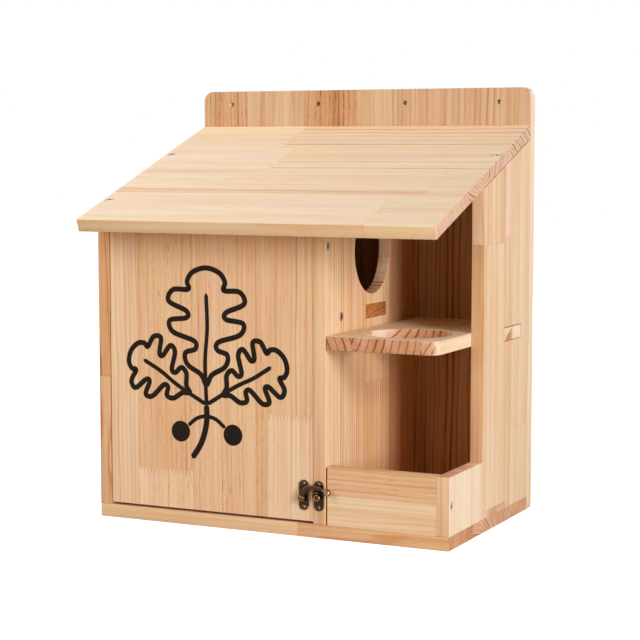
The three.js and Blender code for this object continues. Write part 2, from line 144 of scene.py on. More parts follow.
def slab(outer, thickness=BOARD, holes=(), low_seats=(), high_seats=(), ease=EASE):
    """A board as grids carried round its outlines. Across the thickness the outline is drawn
    in by a quarter circle at each face, ease wide and ease deep, and runs straight between.
    A seat is the same grid stopped at a depth and closed. The flat faces are triangulated.
    Gives points in (u, v, w), faces, and which faces are flat."""
    angle = np.linspace(0, math.pi / 2, EASE_STEPS + 1)
    inset, height = ease * (1 - np.sin(angle)), ease * (1 - np.cos(angle))
    low = list(zip(inset, height))
    high = list(zip(inset[::-1], thickness - height[::-1]))
    grids, faces, flat = [], [], []

    def carry(loop, profile):
        first = sum(len(grid) for grid in grids)
        grids.append(np.concatenate([
            np.column_stack([drawn_in(loop, i), np.full(len(loop), w)]) for i, w in profile]))
        quads = ring_quads(first, len(profile), len(loop))
        faces.extend(quads)
        flat.extend([False] * len(quads))
        start = np.arange(first, first + len(loop))
        return start, start + len(loop) * (len(profile) - 1)

    def close(made):
        faces.extend(made)
        flat.extend([True] * len(made))

    rims = [carry(loop, low + high) for loop in [outer, *[hole[::-1] for hole in holes]]]
    low_rims, high_rims = [list(ends) for ends in zip(*rims)]
    for loop in low_seats:
        rim, end = carry(loop[::-1], low + [(0, SEAT_DEPTH)])
        low_rims.append(rim)
        close([end.tolist()])
    for loop in high_seats:
        end, rim = carry(loop[::-1], [(0, thickness - SEAT_DEPTH)] + high)
        high_rims.append(rim)
        close([end[::-1].tolist()])
    points = np.concatenate(grids)
    close(cap(points, low_rims, False))
    close(cap(points, high_rims, True))
    return points, faces, flat


def placed(points, origin, ways):
    """Local points carried to the box: origin plus each coordinate along its own way."""
    return np.asarray(origin, float) + points @ np.array(ways)


def add_piece(name, made, ways, material, nodes, body="carcass", origin=(0, 0, 0)):
    """A mesh at the origin with its place in its vertices, riding on a body. What is made is
    points, faces, and which faces are flat."""
    points, faces, flat = made
    mesh = bpy.data.meshes.new(name)
    mesh.from_pydata(((placed(points, origin, ways) - ROW_ORIGIN) / 1000).tolist(), [], faces)
    mesh.polygons.foreach_set("use_smooth", (~np.broadcast_to(flat, len(faces))).tolist())
    mesh.materials.append(material)
    mesh.update()
    piece = bpy.data.objects.new(name, mesh)
    bpy.context.scene.collection.objects.link(piece)
    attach(piece, body)
    if nodes:
        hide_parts(*nodes)
    return piece


def linear(red, green, blue):
    """A colour of a paint chart, 0 to 255, as light."""
    share = np.array([red, green, blue]) / 255
    return tuple(np.where(share <= 0.04045, share / 12.92, ((share + 0.055) / 1.055) ** 2.4))


class Field:
    """What a shader node gives at each point of a surface. Arithmetic on it adds the nodes
    that work the sum out."""

    def __init__(self, socket):
        self.socket, self.tree = socket, socket.id_data

    def step(self, operation, *others):
        return field(self.tree, "Math", enumerate((self, *others)), operation=operation)

    def __rsub__(self, other):
        return field(self.tree, "Math", {0: other, 1: self}, operation="SUBTRACT")

    __add__ = partialmethod(step, "ADD")
    __sub__ = partialmethod(step, "SUBTRACT")
    __mul__ = partialmethod(step, "MULTIPLY")
    __truediv__ = partialmethod(step, "DIVIDE")
    __pow__ = partialmethod(step, "POWER")
    __abs__ = partialmethod(step, "ABSOLUTE")
    __gt__ = partialmethod(step, "GREATER_THAN")
    __lt__ = partialmethod(step, "LESS_THAN")


def add_node(tree, kind, inputs=(), **settings):
    """A shader node with its settings, and its inputs fed by name or number."""
    made = tree.nodes.new("ShaderNode" + kind)
    for key, value in settings.items():
        setattr(made, key, value)
    for key, value in dict(inputs).items():
        if isinstance(value, Field):
            tree.links.new(value.socket, made.inputs[key])
        else:
            made.inputs[key].default_value = value
    return made


def field(tree, kind, inputs=(), output=0, **settings):
    """The field that one output of a new node gives."""
    return Field(add_node(tree, kind, inputs, **settings).outputs[output])


def ramp(share, stops, interpolation="LINEAR"):
    """Colours laid out along a share from 0 to 1."""
    made = add_node(share.tree, "ValToRGB", {0: share})
    scale = made.color_ramp
    scale.interpolation = interpolation
    scale.elements.remove(scale.elements[1])
    scale.elements[0].position = stops[0][0]
    scale.elements[0].color = (*stops[0][1], 1)
    for position, colour in stops[1:]:
        scale.elements.new(position).color = (*colour, 1)
    return Field(made.outputs[0])


def grey_ramp(share, stops):
    """Values laid out along a share from 0 to 1."""
    return ramp(share, [(at, (value,) * 3) for at, value in stops])


def veiled(colour, veil):
    """A colour seen through another: each part multiplied by its like."""
    return field(colour.tree, "VectorMath", {0: colour, 1: veil}, operation="MULTIPLY")


def noise(grain, stretch, detail, seed):
    """Smooth noise in a board's own directions, stretched by so much a millimetre."""
    stretched = field(grain.tree, "VectorMath", {0: grain, 1: stretch}, operation="MULTIPLY")
    return field(grain.tree, "TexNoise", {"Vector": stretched, "W": seed, "Scale": 1.0, "Detail": detail},
                 noise_dimensions="4D")


def chance(number):
    """A share drawn by lot, the same wherever the number is."""
    return field(number.tree, "TexWhiteNoise", {"W": number}, "Value", noise_dimensions="1D")


def new_material(name):
    """A material and its empty node tree."""
    material = bpy.data.materials.new(name)
    material.use_nodes = True
    material.node_tree.nodes.clear()
    return material, material.node_tree


def set_surface(colour, rough, relief, strength, depth, shine):
    """The last nodes of a finish: its relief is depth metres deep, and its shine holds the
    shader's settings that are the same all over."""
    bump = field(colour.tree, "Bump", {"Height": relief, "Strength": strength, "Distance": depth})
    surface = field(colour.tree, "BsdfPrincipled",
                    {"Base Color": colour, "Roughness": rough, "Normal": bump, **shine})
    add_node(colour.tree, "OutputMaterial", {0: surface})


WHITE = (1.0, 1.0, 1.0)
PINE = [
    (0.0, linear(250, 229, 201)),
    (0.2, linear(240, 210, 173)),
    (0.4, linear(230, 188, 146)),
    (0.6, linear(216, 163, 117)),
    (0.8, linear(197, 134, 87)),
    (1.0, linear(158, 92, 52)),
]
YEAR_WIDTH = 4.2
YEAR_DARKNESS = [(0.0, 0.0), (0.45, 0.03), (0.7, 0.3), (0.86, 1.0), (0.93, 0.8), (1.0, 0.0)]
TOOTH_PITCH = 3.7
GLUE_LINE = [(0.0, 1.0), (0.12, 0.8), (0.3, 0.0)]
JOINT_LINE = [(0.0, 1.0), (0.1, 0.7), (0.3, 0.0)]
PINK_VEIL = (1.0, 0.92, 0.89)
END_VEIL = (0.93, 0.925, 1.06)
HUE_VEILS = [(0.35, (1.0, 1.01, 0.93)), (0.65, (1.0, 0.965, 0.985))]
# Painted shade for the walls of a slot, the shade of the gap round its tenon.
SLOT_SHADE = (0.16, 0.1, 0.07)
SLOT_RIM = 0.2
LENGTH_REACH = 1000.0
SHARE_REACH = 4.0


def lath(upto, tone, tone_later=None, joint=1.0, heart=(-90, -10), lean=0.0, figure=0.6,
         figure_later=None, pink=0.2, edge=0.1, edge_later=None):
    """One lath of a panel, whose far side lies upto across the board. Its tone runs from pale
    to warm, and is tone_later past the joint, so far along. The middle of its tree lies heart
    beyond its far side and above the board's lower face, and leans by so much a millimetre.
    Then come how strong its figure is, how pink it is, and how much warmer its edge faces are, partly for
    the sawn edge's grain and partly as painted light and shade on them."""
    def same_unless(later, first):
        return first if later is None else later

    return dict(upto=upto, tone=tone, tone_later=same_unless(tone_later, tone), joint=joint,
                heart=upto + heart[0], below=heart[1], lean=lean, figure=figure,
                figure_later=same_unless(figure_later, figure), pink=pink, edge=edge,
                edge_later=same_unless(edge_later, edge))


def pine(name, ways, face, laths, spacing=YEAR_WIDTH, end=0.2, tooth=0.0, seed=0.0, tint=WHITE,
         wander=1.0, crisp=1.0, drift=1.0, chip_shade=None, mortise=None):
    """Edge-glued pine for a board whose ways are across its laths, along them and through it,
    with its lower face at face. The growth rings are circles round the middle of each lath's
    tree, so faces get lines and ends get arcs: the distance from that middle, swayed by noise
    times wander, is divided by spacing, the width of a year. Its whole part names the year,
    and the rest runs from pale early wood to a dark line, finer with a higher crisp. Rings,
    fibres and bands times drift, resin canals, ends, edge faces and glue lines add up to one
    warmth, and the colour is read off the scale of pine tones and tinted. The edge faces' share
    is partly the sawn edge's grain and partly painted light and shade on those edges. Lengths
    join in fingers tooth long. A triangle of painted shade can lie in one edge face, warmer
    where a chipped-out corner would be in shadow: its start and end along, its lowest and
    highest place through, and how much warmer. A mortise is a slot, from low across and along
    to high across and along, whose walls are darkened with painted shade, the shade of the gap
    round the tenon in it."""
    material, tree = new_material(name)
    across, along, _ = ways
    place = field(tree, "TexCoord", output="Object")
    normal = field(tree, "TexCoord", output="Normal")
    millimetres = field(tree, "Mapping", {
        "Vector": place, "Location": tuple(ROW_ORIGIN), "Scale": (1000.0,) * 3})

    def part_along(vector, way):
        return field(tree, "VectorMath", {0: vector, 1: tuple(way)}, "Value", operation="DOT_PRODUCT")

    a, g, t = (part_along(millimetres, way) for way in ways)
    grain = field(tree, "CombineXYZ", {0: a, 1: g, 2: t})

    first_bound, *bounds = [each["upto"] for each in laths[:-1]]
    index, gap = a > first_bound, abs(a - first_bound)
    for bound in bounds:
        index, gap = index + (a > bound), gap.step("MINIMUM", abs(a - bound))
    lath_share = (index + 0.5) / float(len(laths))

    def of_lath(reach, *names):
        """Three values of the lath at hand, stored as the parts of a stepped ramp's colour:
        each is divided by reach and lifted by a half, and read back the other way."""
        stops = [(i / len(laths), [each[name] / reach + 0.5 for name in names])
                 for i, each in enumerate(laths)]
        parts = add_node(tree, "SeparateColor", {0: ramp(lath_share, stops, "CONSTANT")}).outputs
        return [(Field(part) - 0.5) * reach for part in parts]

    joint, heart, below = of_lath(LENGTH_REACH, "joint", "heart", "below")
    tone, tone_later, lean = of_lath(SHARE_REACH, "tone", "tone_later", "lean")
    figure, figure_later, pink = of_lath(SHARE_REACH, "figure", "figure_later", "pink")
    edge, edge_later, _ = of_lath(SHARE_REACH, "edge", "edge_later", "pink")

    saw = a.step("PINGPONG", TOOTH_PITCH / 2) / (TOOTH_PITCH / 2)
    tip = (1.0 - saw) ** 3.0
    cut = chance(((a + TOOTH_PITCH / 2) / TOOTH_PITCH).step("FLOOR"))
    past_joint = g - joint + tip * (cut + 1.0) * (tooth / 2)
    beyond = past_joint > 0.0

    def at_joint(before, after):
        return before + beyond * (after - before)

    kind = index.step("MULTIPLY_ADD", 3.7, seed) + beyond * 1.9
    from_a = a - heart - beyond * 23.0
    from_t = t - (below + face) + g * lean
    sway = noise(grain, (0.012, 0.0035, 0.012), 2.0, kind)
    ripple = noise(grain, (0.09, 0.012, 0.09), 2.0, kind)
    radius = (from_a * from_a + from_t * from_t).step("SQRT")
    rings = (radius + ripple * (3.5 * wander) + sway * (16.0 * wander)) / spacing
    luck = chance(rings.step("FLOOR") + kind * 13.0)
    late = grey_ramp(rings.step("FRACT"), YEAR_DARKNESS) ** crisp * (luck * luck * 0.9 + 0.18)

    fibre = noise(grain, (0.5, 0.006, 0.5), 4.0, kind)
    bands = noise(grain, (0.075, 0.004, 0.075), 2.0, kind)
    hue = noise(grain, (0.05, 0.006, 0.05), 1.0, kind + 40.0)
    canals = grey_ramp(noise(grain, (0.9, 0.07, 0.9), 1.0, kind), [(0.63, 0.0), (0.69, 1.0)])
    pores = grey_ramp(noise(grain, (1.2, 0.32, 1.2), 1.0, kind), [(0.6, 0.0), (0.72, 1.0)])
    on_end, on_edge = (grey_ramp(abs(part_along(normal, way)), [(0.55, 0.0), (0.85, 1.0)])
                       for way in (along, across))
    seam = grey_ramp(abs(past_joint) / 8.0, JOINT_LINE)

    shares = [
        late * at_joint(figure, figure_later) * (on_end * 0.65 + 0.38),
        (fibre - 0.5) * (0.46 * drift),
        (bands - 0.5) * (0.45 * drift),
        canals * (pink * 0.32 + 0.06),
        pores * pink * 0.22,
        on_end * end,
        # Edge faces: partly sawn-edge grain, partly painted light and shade.
        on_edge * at_joint(edge, edge_later),
        grey_ramp(gap / 2.0, GLUE_LINE) * 0.07,
        seam * (tip * 0.3 + 0.04 if tooth else 0.05),
        -0.05,
    ]
    # Painted shade: a warmer triangle in an edge face, for the shadow in a chipped corner.
    if chip_shade:
        low_g, high_g, low_t, high_t, warmer = chip_shade
        way = (g - low_g) / (high_g - low_g)
        rise = (t - low_t) / (high_t - low_t)
        shares.append((rise < way) * (way < 1.0) * on_edge * warmer)
    veils = [
        ramp(pink, [(0.0, WHITE), (1.0, PINK_VEIL)]),
        ramp(hue, HUE_VEILS),
        ramp(on_edge, [(0.0, tint), (1.0, WHITE)]),
        ramp(on_end, [(0.0, WHITE), (1.0, END_VEIL)]),
    ]
    # Painted shade on the slot's walls, as in the gap round the tenon.
    if mortise:
        low_a, low_g, high_a, high_g = mortise
        inside = (a.step("COMPARE", (low_a + high_a) / 2, (high_a - low_a) / 2 + SLOT_RIM)
                  * g.step("COMPARE", (low_g + high_g) / 2, (high_g - low_g) / 2 + SLOT_RIM))
        veils.append(ramp(inside * on_end.step("MAXIMUM", on_edge), [(0.0, WHITE), (1.0, SLOT_SHADE)]))
    colour = ramp(sum(shares, at_joint(tone, tone_later)), PINE)
    for veil in veils:
        colour = veiled(colour, veil)
    set_surface(colour, fibre * 0.3 + 0.5, late * 0.4 + fibre, 0.35, 0.0001, {"Specular IOR Level": 0.12})
    return material


LYING = (RIGHT, BACK, UP)
floor_pine = pine("floor_pine", (BACK, RIGHT, UP), 0, [
    lath(58, 0.36, 0.50, 206, heart=(70, -20), lean=0.02, figure=0.5, edge=0.0, edge_later=0.03),
    lath(118, 0.40, 0.34, 120, heart=(-80, -30), lean=-0.01, edge=0.04),
    lath(170, 0.44, 0.38, 250, heart=(40, -40), lean=0.01, pink=0.3, edge=0.04),
    lath(202, 0.36, 0.42, 90, figure=0.5, edge=0.04),
], end=0.12, seed=2.0)

floor_seats = [circle(x, y, HEAD_SEAT) for x in UPRIGHT_MIDDLES for y in FLOOR_SCREWS_Y]
floor_slab = slab(rounded(rectangle(0, 0, WIDTH, DEPTH), CORNER_ROUND), low_seats=floor_seats,
                  ease=FLOOR_EASE)
add_piece("floor", floor_slab, LYING, floor_pine, ["floor_board"])


# ---------------- left wall
# Upright pine board on the nest side, cut to the roof's slope, with a slot for the nest
# shelf's tenon. Screwed from below and from behind; its front edge shows beside the door.

SIDEWAYS = (BACK, UP, RIGHT)
SLOPE = math.radians(19.87)
WALL_TOP_FRONT = 278.92
WALL_TOP_BACK = 351.92
NEST_SLOT = (85.7, 187.74, 132.3, 200.34)
NEST_SCREW = (34.0, 194.04)
DOOR_PIVOT = (6.0, 258.24)
SNUG_SEAT = 3.75
UPRIGHT = [[0, BOARD], [DEPTH, BOARD], [DEPTH, WALL_TOP_BACK], [0, WALL_TOP_FRONT]]

left_pine = pine("left_pine", SIDEWAYS, 0, [
    lath(46, 0.44, 0.52, 132, heart=(60, -30), lean=0.03, figure=1.5, pink=0.25, edge=0.0,
         edge_later=0.06),
    lath(96, 0.34, 0.40, 210, heart=(-90, 20), pink=0.3),
    lath(150, 0.42, 0.34, 96, heart=(-20, -60), lean=0.02, figure=0.7, pink=0.4),
    lath(202, 0.34, 0.40, 260, heart=(80, -20), lean=-0.02),
], seed=5.0, mortise=NEST_SLOT)

left_slab = slab(rounded(UPRIGHT, CORNER_ROUND), holes=[rectangle(*NEST_SLOT)],
                 low_seats=[circle(*NEST_SCREW, HEAD_SEAT), circle(*DOOR_PIVOT, SNUG_SEAT)])
add_piece("left_side", left_slab, SIDEWAYS, left_pine, ["left_wall"])


# ---------------- divider
# Upright pine board between nest and feeding bay, light and evenly lined. The round way into
# the nest is bored through it, and the nest shelf's tenon comes through below the hole.

DIVIDER_X = 221.0
HOLE_RADIUS = 40.0
HOLE_STEPS = 96
ENTRANCE = (102.0, 250.04)
TRAY_SCREW = (6.0, 38.0)
FEEDER_SCREWS = ((18.0, 173.54), (152.0, 173.54))

divider_pine = pine("divider_pine", SIDEWAYS, DIVIDER_X, [
    lath(31, 0.21, heart=(-160, 10), figure=1.5, pink=0.0, edge=0.20),
    lath(80, 0.37, heart=(-190, -20), lean=0.01, figure=1.6, pink=0.0),
    lath(141, 0.45, 0.40, 128, heart=(110, 10), lean=-0.01, figure=1.4, pink=0.0, edge=-0.04),
    # The rear lath's darker tone is painted shade for the back of the feeding bay.
    lath(202, 0.57, heart=(-150, 0), figure=0.7, pink=0.1, edge=-0.2),
], seed=9.0, tint=(1.0, 0.985, 0.96), crisp=1.4, mortise=NEST_SLOT)

divider_slab = slab(
    rounded(UPRIGHT, CORNER_ROUND),
    holes=[circle(*ENTRANCE, HOLE_RADIUS, HOLE_STEPS), rectangle(*NEST_SLOT)],
    low_seats=[circle(*TRAY_SCREW, SNUG_SEAT), *[circle(*at, HEAD_SEAT) for at in FEEDER_SCREWS]],
    high_seats=[circle(*DOOR_PIVOT, SNUG_SEAT), circle(*NEST_SCREW, HEAD_SEAT)])
add_piece("divider", divider_slab, SIDEWAYS, divider_pine, ["divider_wall"],
          origin=(DIVIDER_X, 0, 0))


# ---------------- right wall
# Stepped upright: tray high in front, roof high behind. The feeding shelf's tenon comes
# through its middle, and a notch in its foot takes the tenon of the tray floor.

RIGHT_X = 338.0
STEP = 80.5
STEP_TOP = 308.01
TRAY_TOP = 64.0
FEEDER_SLOT = (133.2, 167.24, 180.3, 180.2)
NOTCH = (93.7, 140.3)
NOTCH_TOP = 18.3
NOTCH_ROUND = 0.3
RIGHT_EASE = 0.5

right_pine = pine("right_pine", SIDEWAYS, RIGHT_X, [
    lath(15.5, 0.10, heart=(-80, -20), pink=0.1, edge=0.28),
    lath(76, 0.09, heart=(90, 10), figure=0.7, pink=0.1),
    lath(136, 0.24, 0.32, 258, heart=(-130, 0), lean=0.02, figure=0.8, edge=0.29, edge_later=-0.05),
    lath(153, 0.33, 0.26, 262, heart=(-60, -30), lean=0.05, figure=0.8),
    lath(202, 0.24, 0.26, 84, heart=(110, 0), lean=-0.02, figure=0.8, pink=0.1),
], spacing=4.4, end=0.46, seed=14.0, tint=(1.0, 1.02, 1.09), mortise=FEEDER_SLOT)

right_outline = rounded(
    [[0, BOARD], [NOTCH[0], BOARD], [NOTCH[0], NOTCH_TOP], [NOTCH[1], NOTCH_TOP], [NOTCH[1], BOARD],
     [DEPTH, BOARD], [DEPTH, WALL_TOP_BACK], [STEP, STEP_TOP], [STEP, TRAY_TOP], [0, TRAY_TOP]],
    [CORNER_ROUND, NOTCH_ROUND, 0, 0, NOTCH_ROUND, *[CORNER_ROUND] * 3, 0, CORNER_ROUND])
right_slab = slab(right_outline, holes=[rectangle(*FEEDER_SLOT)],
                  high_seats=[circle(*TRAY_SCREW, SNUG_SEAT)], ease=RIGHT_EASE)
add_piece("right_side", right_slab, SIDEWAYS, right_pine, ["right_wall"],
          origin=(RIGHT_X, 0, 0))


# ---------------- back board
# Full-height panel of upright laths in mixed tones, round at its top corners, with four holes
# to hang it by. Eight screws go through it into the uprights and the floor.

FRONT = -BACK
FACING = (RIGHT, UP, FRONT)
BACK_FACE = DEPTH + BOARD
BACK_TOP = 400.0
TOP_ROUND = 10.0
ARC_STEPS = 8
HANGING_Z = 386.6
HANGING_X = (32.0, 128.5, 221.5, 318.0)
HANGING_RADIUS = 2.25
BACK_SEATS_Z = (60.0, 299.9)
BACK_FOOT_SCREWS = ((100.0, 6.0), (250.0, 6.0))

back_pine = pine("back_pine", (RIGHT, UP, BACK), DEPTH, [
    lath(50, 0.49, heart=(30, 10), lean=0.02, figure=0.9, pink=0.7, edge=-0.4),
    lath(115, 0.45, heart=(-90, -80), figure=0.8, pink=0.0),
    lath(170, 0.59, heart=(70, -40), lean=0.03, figure=0.9, pink=0.9),
    lath(265, 0.56, 0.44, 331, heart=(-150, 30), lean=0.05, figure=0.9, pink=0.0),
    lath(322, 0.56, 0.47, 343, heart=(70, -110), figure=1.6, pink=0.0),
    lath(350, 0.39, heart=(-90, 0), figure=0.8, pink=0.0, edge=-0.31),
], spacing=4.6, end=0.02, seed=20.0, tint=(0.77, 0.79, 0.81), drift=1.35)

back_outline = rounded(rectangle(0, 0, WIDTH, BACK_TOP), [CORNER_ROUND] * 2 + [TOP_ROUND] * 2, ARC_STEPS)
back_seats = [circle(x, z, HEAD_SEAT) for x in UPRIGHT_MIDDLES for z in BACK_SEATS_Z]
back_seats += [circle(*at, HEAD_SEAT) for at in BACK_FOOT_SCREWS]
back_slab = slab(back_outline, holes=[circle(x, HANGING_Z, HANGING_RADIUS, 20) for x in HANGING_X],
                 low_seats=back_seats)
add_piece("back", back_slab, FACING, back_pine, ["back_board"], origin=(0, BACK_FACE, 0))


# ---------------- nest shelf
# Floor of the upper nest: a panel with a tenon at each end, let through both uprights, and a
# round hole down to the lower nest. The end of its right tenon shows orange in the divider.

NEST_FRONT = 12.5
NEST_Z = 188.04
NEST_TENON = (86.0, 132.0)
NEST_HOLE = (77.0, 107.25)
NEST_ROUND = 0.5
TENON_ROUND = 0.3
SHELF_EASE = 0.3
DIVIDER_FACE = DIVIDER_X + BOARD

nest_pine = pine("nest_pine", (BACK, RIGHT, UP), 188, [
    lath(60, 0.44, 0.40, 150, heart=(70, 10)),
    lath(140, 0.52, 0.57, 90, heart=(-40, -60), lean=0.01, figure=0.35, pink=0.0),
    lath(202, 0.42, 0.46, 160, heart=(60, 30)),
], end=0.3, seed=31.0, tint=(1.0, 0.955, 0.64))

low_tenon, high_tenon = NEST_TENON
nest_outline = rounded(
    [[BOARD, NEST_FRONT], [DIVIDER_X, NEST_FRONT], [DIVIDER_X, low_tenon], [DIVIDER_FACE, low_tenon],
     [DIVIDER_FACE, high_tenon], [DIVIDER_X, high_tenon], [DIVIDER_X, DEPTH], [BOARD, DEPTH],
     [BOARD, high_tenon], [0, high_tenon], [0, low_tenon], [BOARD, low_tenon]],
    [NEST_ROUND, NEST_ROUND, 0, TENON_ROUND, TENON_ROUND, 0] * 2)
nest_slab = slab(nest_outline, holes=[circle(*NEST_HOLE, HOLE_RADIUS, HOLE_STEPS)], ease=SHELF_EASE)
add_piece("nest_floor", nest_slab, LYING, nest_pine, ["nest_shelf"], origin=(0, 0, NEST_Z))


# ---------------- tray floor
# Thin board on the floor board inside the nut tray, tenoned through the foot of the right
# wall, where its end grain shows.

TRAY_FLOOR_THICKNESS = 6.0
TRAY_TENON = (94.0, 140.0)
BACK_ROUND = 0.4

tray_floor_pine = pine("tray_floor_pine", (BACK, RIGHT, UP), BOARD, [
    lath(110, 0.40),
    lath(202, 0.38, heart=(80, -20)),
], end=0.02, seed=37.0)


def tenoned(left, front, low, high, left_round, corner_round, steps=3):
    """Outline of a board of the bay: a rectangle from left to the right wall and from front to
    back, with a tenon from low to high that ends flush with the wall's outer face."""
    return rounded(
        [[left, front], [RIGHT_X, front], [RIGHT_X, low], [WIDTH, low], [WIDTH, high], [RIGHT_X, high],
         [RIGHT_X, DEPTH], [left, DEPTH]],
        [left_round, corner_round, 0, TENON_ROUND, TENON_ROUND, 0, BACK_ROUND, BACK_ROUND], steps)


tray_floor_slab = slab(tenoned(DIVIDER_FACE, BOARD, *TRAY_TENON, BACK_ROUND, BACK_ROUND),
                       TRAY_FLOOR_THICKNESS, ease=SHELF_EASE)
add_piece("tray_floor", tray_floor_slab, LYING, tray_floor_pine, ["tray_bottom"],
          origin=(0, 0, BOARD))


# ---------------- feeding shelf
# Short-grained panel across the bay: its grain runs front to back, so its front edge and the
# far side of its round hole are end grain. Its free front corner is rounded, and a tenon in
# its right side comes through the right wall.

SHELF_LEFT = 234.5
SHELF_Z = 167.54
FEEDER_TENON = (133.5, 178.9)
FEEDER_HOLE = (289.0, 55.0)
SHELF_CORNER = 10.0
SHELF_LEFT_ROUND = 0.3
FEEDER_EASE = 0.5
# Painted shade: a warmer triangle on the right tenon's end, where a chipped corner would be in shadow.
CHIP_SHADE = (133.5, 153.5, 167.5, 178.5, 0.5)

shelf_pine = pine("shelf_pine", LYING, 167.5, [
    # Past the joint 62 mm back, the two laths round the hole turn paler: painted light on the hole's far
    # wall.
    lath(258, 0.10, 0.05, 62, heart=(-78, -21), figure=1.6, pink=0.1),
    lath(324, 0.13, 0.05, 62, heart=(-102, 25.5), figure=2.0, pink=0.1),
    lath(338.5, 0.0, heart=(60, -40), pink=0.1, edge=0.17),
    lath(350, 0.27, 0.08, 158, heart=(-30, -40), figure=0.5, pink=0.0, edge=-0.06),
], spacing=7.2, end=0.55, seed=41.0, wander=0.2, crisp=2.4, chip_shade=CHIP_SHADE)

shelf_slab = slab(tenoned(SHELF_LEFT, 0, *FEEDER_TENON, SHELF_LEFT_ROUND, SHELF_CORNER, ARC_STEPS),
                  holes=[circle(*FEEDER_HOLE, HOLE_RADIUS, HOLE_STEPS)], ease=FEEDER_EASE)
add_piece("feeding_shelf", shelf_slab, LYING, shelf_pine, ["feeder_shelf"],
          origin=(0, 0, SHELF_Z))


# ---------------- tray front
# Low board across the foot of the feeding bay that keeps the nuts in, level grained, screwed
# from both sides. A thin gap is left at its left end.

TRAY_LEFT = 234.8
TRAY_ROUNDS = [0.3, 0.8, 0.8, 0.6]
TRAY_EASE = 0.4

tray_pine = pine("tray_pine", (UP, RIGHT, BACK), 0, [
    lath(39.5, 0.30, heart=(-120, 0), figure=0.9, pink=0.0, edge=0.12),
    lath(64, 0.40, heart=(70, 10), figure=0.8, pink=0.3, edge=0.0),
], spacing=4.8, seed=46.0)

tray_slab = slab(rounded(rectangle(TRAY_LEFT, BOARD, RIGHT_X, TRAY_TOP), TRAY_ROUNDS), ease=TRAY_EASE)
add_piece("tray_lip", tray_slab, FACING, tray_pine, ["tray_front"], origin=(0, BOARD, 0))


# ---------------- roof
# The palest panel, sloping forward over the door, its front edge square to the slope and its
# back edge plumb against the back board. Three screws hold it down.

UP_SLOPE = np.array([0.0, math.cos(SLOPE), math.sin(SLOPE)])
OFF_ROOF = np.array([0.0, -math.sin(SLOPE), math.cos(SLOPE)])
ROOF_WAYS = (RIGHT, UP_SLOPE, OFF_ROOF)
ROOF_FOOT = np.array([0.0, -31.92, 267.70])
ROOF_RUN = 248.73
ROOF_SEATS = ((6.0, 49.98), (6.0, 171.73), (344.0, 171.73))
PLUMB_END = 2.0
FOOT_ALONG = float(ROOF_FOOT @ UP_SLOPE)
FOOT_OFF = float(ROOF_FOOT @ OFF_ROOF)

roof_pine = pine("roof_pine", (UP_SLOPE, RIGHT, OFF_ROOF), FOOT_OFF, [
    lath(FOOT_ALONG + 69, 0.14, 0.19, 285, heart=(-190, -10), figure=0.4, pink=0.1, edge=0.21,
         edge_later=0.16),
    lath(FOOT_ALONG + 80, 0.25, 0.23, 312, heart=(-90, -40), figure=0.7, pink=0.5),
    lath(FOOT_ALONG + 131, 0.15, 0.19, 312, heart=(-120, -70), figure=0.7, pink=0.15),
    lath(FOOT_ALONG + 193, 0.12, 0.16, 133, heart=(120, -110), figure=0.7, figure_later=1.3, pink=0.1),
    lath(FOOT_ALONG + 260, 0.17, 0.23, 118, heart=(-150, -60), figure=0.9, figure_later=1.9, pink=0.0,
         edge=0.16),
], spacing=4.3, end=0.19, seed=50.0, tint=(1.0, 1.03, 1.075), drift=0.7)

roof_slab = slab(rounded(rectangle(0, 0, WIDTH, ROOF_RUN), CORNER_ROUND),
                 high_seats=[circle(*at, HEAD_SEAT) for at in ROOF_SEATS])
points = roof_slab[0]
behind = points[:, 1] > ROOF_RUN - PLUMB_END
points[behind, 1] += points[behind, 2] * math.tan(SLOPE)
add_piece("roof", roof_slab, ROOF_WAYS, roof_pine, ["roof_board"], origin=ROOF_FOOT)


# ---------------- door
# Panel of four upright laths set into the front, finger-jointed near its foot. It swings on
# two screws that enter bores in its side edges.

DOOR = (13.0, 14.4, 220.6, 277.24)
DOOR_ROUND = 0.5
DOOR_EASE = 0.35
FINGER_LENGTH = 7.5
BORE_RADIUS = 2.05
BORE_DEPTH = 20.0
PIVOT_Y, PIVOT_Z = DOOR_PIVOT

door_pine = pine("door_pine", (RIGHT, UP, BACK), 0, [
    lath(42, 0.31, heart=(-100, 0), figure=0.9, pink=0.0),
    lath(100, 0.24, 0.41, 51, heart=(30, 30), lean=0.02, pink=0.5),
    lath(176, 0.38, heart=(70, 40), lean=0.02, pink=0.45),
    lath(220.6, 0.25, 0.41, 108, heart=(-110, 0), figure=0.9),
], spacing=4.6, tooth=FINGER_LENGTH, seed=60.0)


def bore(piece, centre, direction):
    """Takes a round bore out of a finished mesh: a tube from a millimetre before its edge to
    the bore's depth, closed at both ends, is cut away."""
    rim = circle(0, 0, BORE_RADIUS)
    ends = [np.column_stack([rim, np.full(len(rim), w)]) for w in (-1.0, BORE_DEPTH)]
    tube = placed(np.concatenate(ends), centre, (np.cross(BACK, direction), BACK, direction))
    lids = [list(range(len(rim)))[::-1], list(range(len(rim), 2 * len(rim)))]
    mesh = bpy.data.meshes.new("bore")
    mesh.from_pydata(((tube - ROW_ORIGIN) / 1000).tolist(), [], ring_quads(0, 2, len(rim)) + lids)
    cutter = bpy.data.objects.new("bore", mesh)
    bpy.context.scene.collection.objects.link(cutter)
    cut = piece.modifiers.new("bore", "BOOLEAN")
    cut.operation, cut.solver, cut.object = "DIFFERENCE", "EXACT", cutter
    bpy.context.view_layer.update()
    whole = piece.evaluated_get(bpy.context.evaluated_depsgraph_get())
    piece.data = bpy.data.meshes.new_from_object(whole)
    piece.modifiers.clear()
    bpy.data.objects.remove(cutter)


